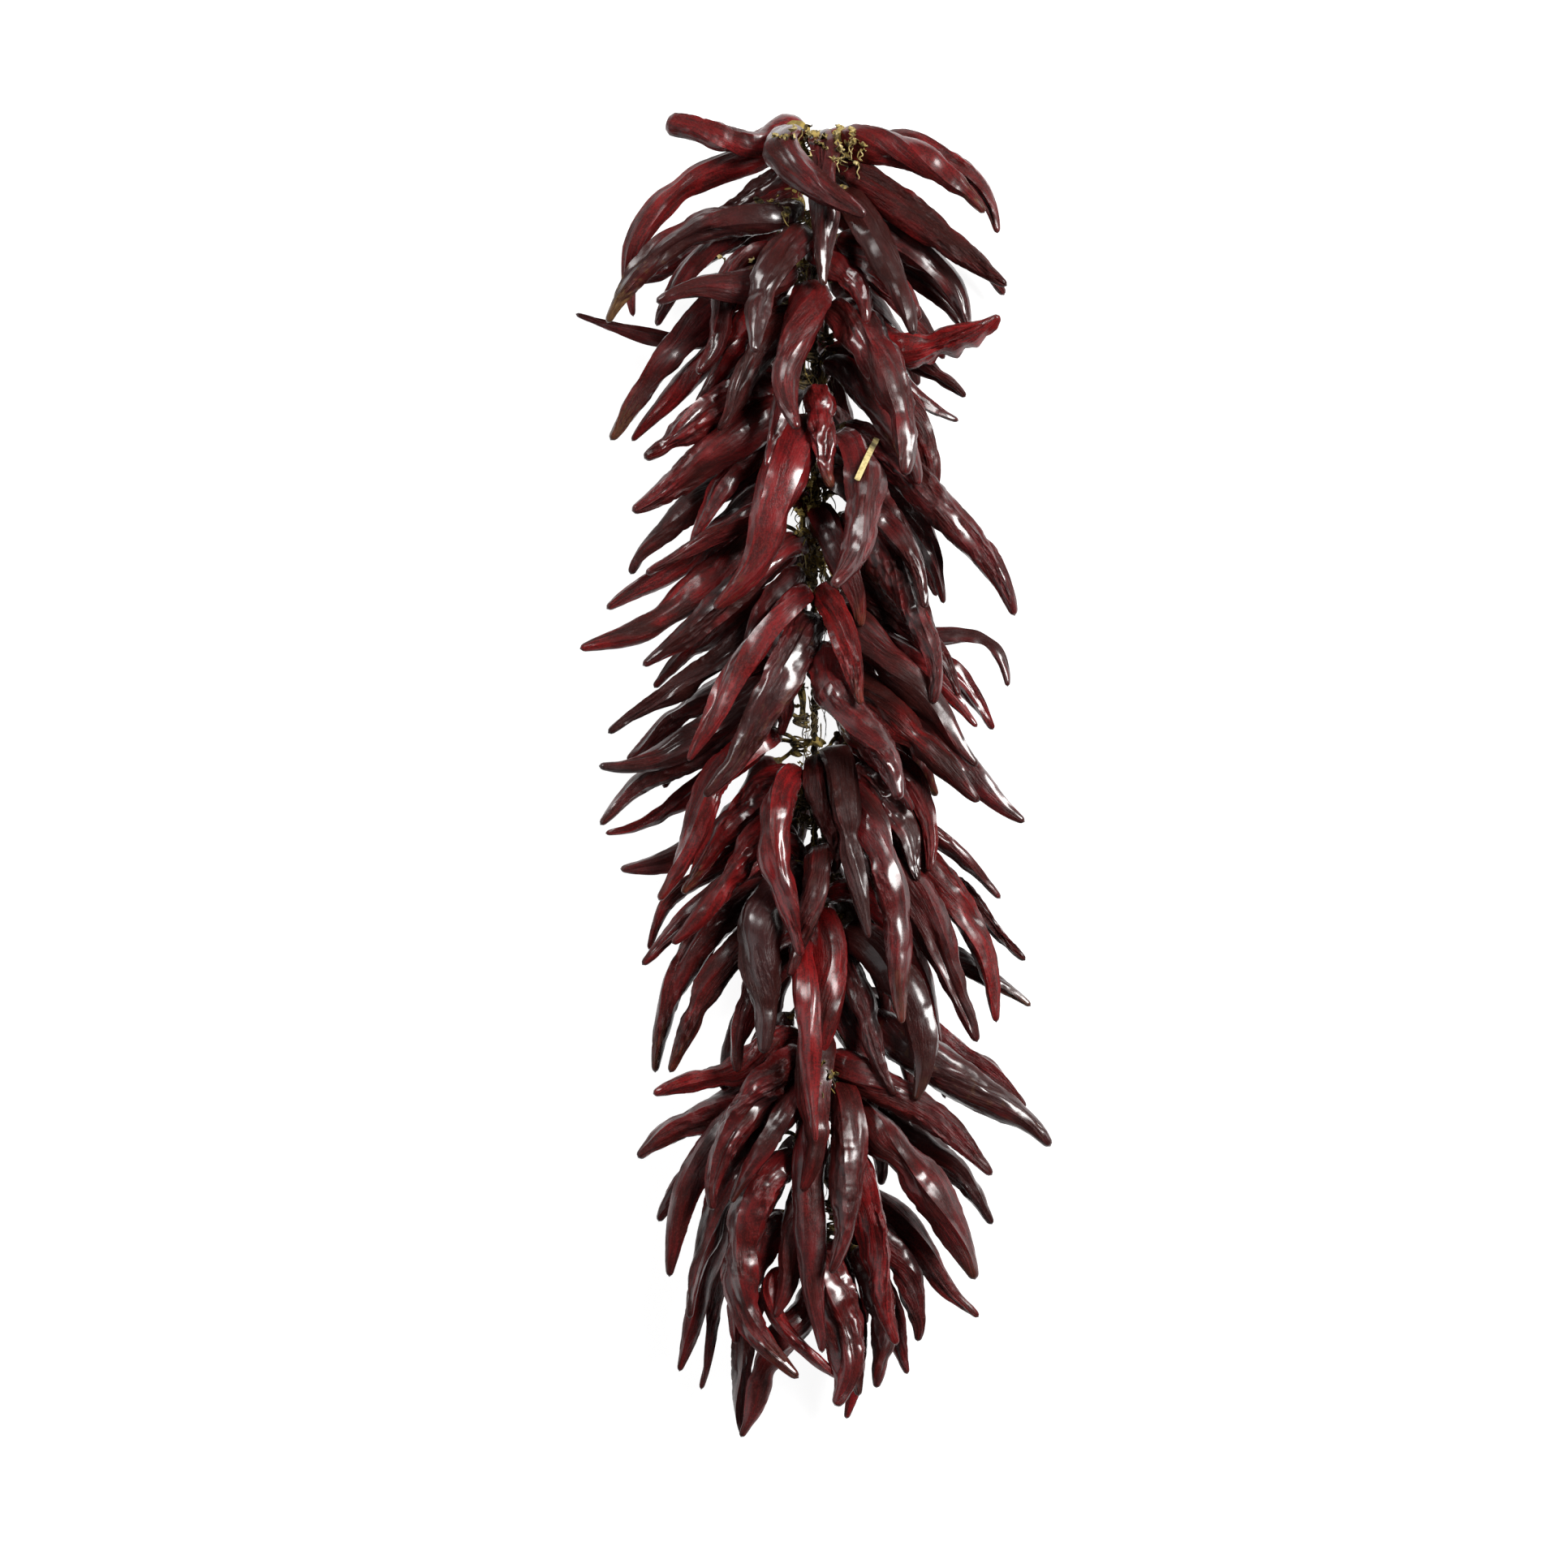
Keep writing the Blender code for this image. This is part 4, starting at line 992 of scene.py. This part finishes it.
def height_at(pieces, x, y):
    """How high the pods stand at one place."""
    hits = [piece.ray_cast(Vector((x, y, 1)), Vector((0, 0, -1))) for piece in pieces]
    return max([place.z for found, place, _, _ in hits if found], default=0.0)


def covers(box, place):
    """Whether the box lies over or under the place."""
    low, high = box
    return low.x < place[0] < high.x and low.y < place[1] < high.y


def pods_at(place):
    """The bunches that lie over or under the place."""
    return [piece for piece, name in zip(made, BUNCHES) if covers(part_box(name), place)]


FIBRES = 190
HUSKS = 90
CLUMP_SPREAD = np.array([0.005, 0.007, 0.001])
# The clumps' heights are counted from this far below the cord's upper end.
CLUMP_ZERO = 0.447
# Where scraps are caught: across and up in millimetres, how many, which material (0 twine, 1 stem, 2 straw),
# and whether they lie on the pods or sit among them.
CLUMPS = (
    (-16, 438, 5, 2, True), (-12, 434, 5, 1, True), (-4, 434, 4, 2, True), (4, 431, 6, 1, True),
    (9, 431, 5, 2, True), (18, 434, 6, 1, True), (24, 434, 5, 2, True), (31, 430, 3, 2, True),
    (0, 424, 12, 1, False), (-26, 390, 6, 1, True), (-20, 386, 8, 1, False), (-52, 353, 3, 2, True),
    (-3, 372, 12, 1, False), (-2, 200, 26, 1, False), (-6, 182, 16, 1, False), (0, 196, 7, 2, False),
    (4, 150, 10, 1, False), (0, 20, 10, 1, False), (4, -150, 8, 1, False), (8, -205, 4, 1, True),
)


def loose_scraps():
    """Fibres and husks down the whole cord, and clumps of them where they are caught between the pods."""
    rng = np.random.default_rng(41)
    made = []
    for _ in range(FIBRES):
        turn = rng.uniform(-0.3, math.pi + 0.3)
        reach = rng.uniform(0.0035, 0.009)
        start = np.array([CORD_X + reach * math.cos(turn), rng.uniform(cord_low.y + 0.03, cord_high.y),
                          CORD_Z + reach * math.sin(turn)])
        made.append(fibre(rng, start, turn, rng.uniform(0.014, 0.042), rng.uniform(0.0003, 0.0007),
                          rng.uniform(0.2, 0.9), int(rng.integers(0, 2))))
    for _ in range(HUSKS):
        turn = rng.uniform(-0.2, math.pi + 0.2)
        reach = rng.uniform(0.005, 0.013)
        height = rng.uniform(cord_low.y, cord_high.y)
        start = np.array([CORD_X + reach * math.cos(turn), height, CORD_Z + reach * math.sin(turn)])
        made.append(husk(rng, start, turn, rng.uniform(0.006, 0.013), rng.uniform(0.2, 0.8), 1))
    bpy.context.view_layer.update()
    for across, up, count, slot, on_pods in CLUMPS:
        for _ in range(count):
            start = np.array([CORD_X, cord_high.y - CLUMP_ZERO, CORD_Z]) + np.array([across, up, 0]) * 0.001
            start = start + rng.normal(0, 1, 3) * CLUMP_SPREAD + np.array([0, 0, rng.uniform(0.004, 0.026)])
            if on_pods:
                top = height_at(pods_at(start), start[0], start[1])
                start[2] = max(start[2], top - rng.uniform(0, 0.002))
            turn = rng.uniform(0, math.pi)
            size = rng.uniform(0.005, 0.01 if on_pods else 0.014)
            # Painted light: scraps down among the pods get lighter tones than those lying on top, to lift
            # them out of the shade they sit in.
            tone_lighter_in_shade = rng.uniform(0.25, 1.0) if on_pods else rng.uniform(0.0, 0.6)
            made.append(husk(rng, start, turn, size, tone_lighter_in_shade, slot))
            made.append(fibre(rng, start, turn, size * 1.6, 0.0006, tone_lighter_in_shade, slot))
    return made


cord = joined_piece("cord_strands", [twisted_cord(), *loose_scraps()], (TWINE, STEM, STRAW))
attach(cord, "root")
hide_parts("cord")
print("cord of", len(cord.data.polygons), "faces")

# %% [markdown]
# One strip of straw has caught on the pods of the upper half. Its line is the imported bar's own. Where that
# line would run into the finely shaped pods of the bunches over its middle, it is lifted onto them, and it
# stays taut between them.

# %% The strip of straw
STRAW_TUBE = rolled_tube("straw", 16, 40, lambda share: share)
STRAW_STATIONS = 7
STRAW_POINTS = 80
STRAW_CLEAR = 0.0006
STRAW_EASINGS = 400


def laid_on_pods(line, side):
    """The line, lifted where it would run into the pods of the bunches over its middle, and kept taut between
    them.
    """
    near = pods_at(line.mean(axis=0))
    for place in line:
        heights = [height_at(near, *(place + side * step)[:2]) for step in (-1, -0.5, 0, 0.5, 1)]
        place[2] = max(heights) + STRAW_CLEAR
    for _ in range(STRAW_EASINGS):
        line[1:-1, 2] = np.maximum(line[1:-1, 2], (line[:-2, 2] + line[2:, 2]) / 2)
    return line


def straw_blade():
    """A flat blade of straw along the bar's own line, bowed across its width and uneven at its edges."""
    corners = np.array([vert.co for vert in frame["nodes"]["straw"].data.vertices])
    shares = (corners[:, 1] - corners[:, 1].min()) / np.ptp(corners[:, 1])
    gap = 1 / (STRAW_STATIONS - 1)
    near = [np.abs(shares - k * gap) < 0.4 * gap for k in range(STRAW_STATIONS)]
    line = smooth_line(np.array([corners[pick].mean(axis=0) for pick in near if pick.any()]), STRAW_POINTS)
    side = unit(np.cross(line[-1] - line[0], (0, 0, 1)))
    half_width = np.ptp(corners[shares > 0.9] @ side) / 2
    line = laid_on_pods(line, side * half_width)
    share, turn, reach = STRAW_TUBE["share"], STRAW_TUBE["turn"], STRAW_TUBE["reach"]
    at = (share * (STRAW_POINTS - 1)).astype(int)
    across = half_width * np.cos(turn) * reach * (0.92 + 0.08 * np.sin(share * 17) * np.sin(turn * 2))
    rise = 0.0003 * np.sin(turn) * reach + 0.0004 * (across / half_width) ** 2
    places = line[at] + side * across[:, None] + np.array([0, 0, 1]) * rise[:, None]
    mesh = shaped_copy(STRAW_TUBE, places, flat_look(STRAW_TUBE, 0.0), 0, 0.009, length_of(line))
    return joined_piece("straw_blade", [mesh], (STRAW,))


straw = straw_blade()
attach(straw, "root")
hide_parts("straw")
print("straw of", len(straw.data.polygons), "faces")

# %% [markdown]
# Camera, light and floor. The string lies on its back, so the camera looks straight down on it from far
# enough to keep its sides parallel. One broad soft light from the upper right models the pods and puts a
# narrow shine on their right edges, a small one draws a thinner shine on the left, and a weak one fills in.
# The pale floor glows, as a light table does, so that the shadow beside the string stays faint.

# %% Camera
FRAME_WIDTH = 1.073
CAMERA_HEIGHT = 3.2
SENSOR = 36
# The lens is set for a frame of this width at the height of the pods' middle, and the camera looks down a
# little to the left of the cord and below its middle.
FOCUS_HEIGHT = 0.09
CAMERA_LEFT = 0.021
CAMERA_BELOW_TOP = 0.452
low = Vector(cad_box[0])
camera_data = bpy.data.cameras.new("camera")
camera = bpy.data.objects.new("camera", camera_data)
bpy.context.scene.collection.objects.link(camera)
camera_data.sensor_width = SENSOR
camera_data.lens = SENSOR * (CAMERA_HEIGHT - FOCUS_HEIGHT) / FRAME_WIDTH
camera.location = (CORD_X - CAMERA_LEFT, cord_high.y - CAMERA_BELOW_TOP, CAMERA_HEIGHT)
bpy.context.scene.camera = camera


# %% Lights and floor
def soft_light(name, place, target, width, power, colour):
    data = bpy.data.lights.new(name, "AREA")
    data.shape = "DISK"
    data.size = width
    data.energy = power
    data.color = colour
    light = bpy.data.objects.new(name, data)
    light.location = place
    light.rotation_mode = "QUATERNION"
    light.rotation_quaternion = (Vector(target) - Vector(place)).to_track_quat("-Z", "Y")
    bpy.context.scene.collection.objects.link(light)
    return light


LIT_SPOT = (0, 0, 0.08)
soft_light("key", (2.2, 1.3, 2.9), LIT_SPOT, 1.6, 240, (1, 0.985, 0.97))
soft_light("rim", (-1.8, 1.7, 2.1), LIT_SPOT, 1.0, 40, (1, 0.99, 0.98))
soft_light("fill", (-2.7, -0.6, 2.2), LIT_SPOT, 2.6, 14, (0.97, 0.98, 1))
world = bpy.data.worlds.new("studio")
world.use_nodes = True
socket(world.node_tree.nodes["Background"], "Color", (1, 1, 1, 1))
socket(world.node_tree.nodes["Background"], "Strength", 0.04)
bpy.context.scene.world = world
bpy.context.scene.view_settings.view_transform = "Standard"

floor_shape = bmesh.new()
bmesh.ops.create_grid(floor_shape, x_segments=1, y_segments=1, size=6)
floor_mesh = bpy.data.meshes.new("floor")
floor_shape.to_mesh(floor_mesh)
floor_shape.free()
floor_material, _, floor_shader = new_material("pale_floor", (0.25, 0.25, 0.25), 0.9)
socket(floor_shader, "Emission Color", (1, 1, 1, 1))
socket(floor_shader, "Emission Strength", 0.92)
socket(floor_shader, "Specular IOR Level", 0.1)
floor_mesh.materials.append(floor_material)
floor = bpy.data.objects.new("floor", floor_mesh)
floor.location.z = low.z - 0.0002
bpy.context.scene.collection.objects.link(floor)
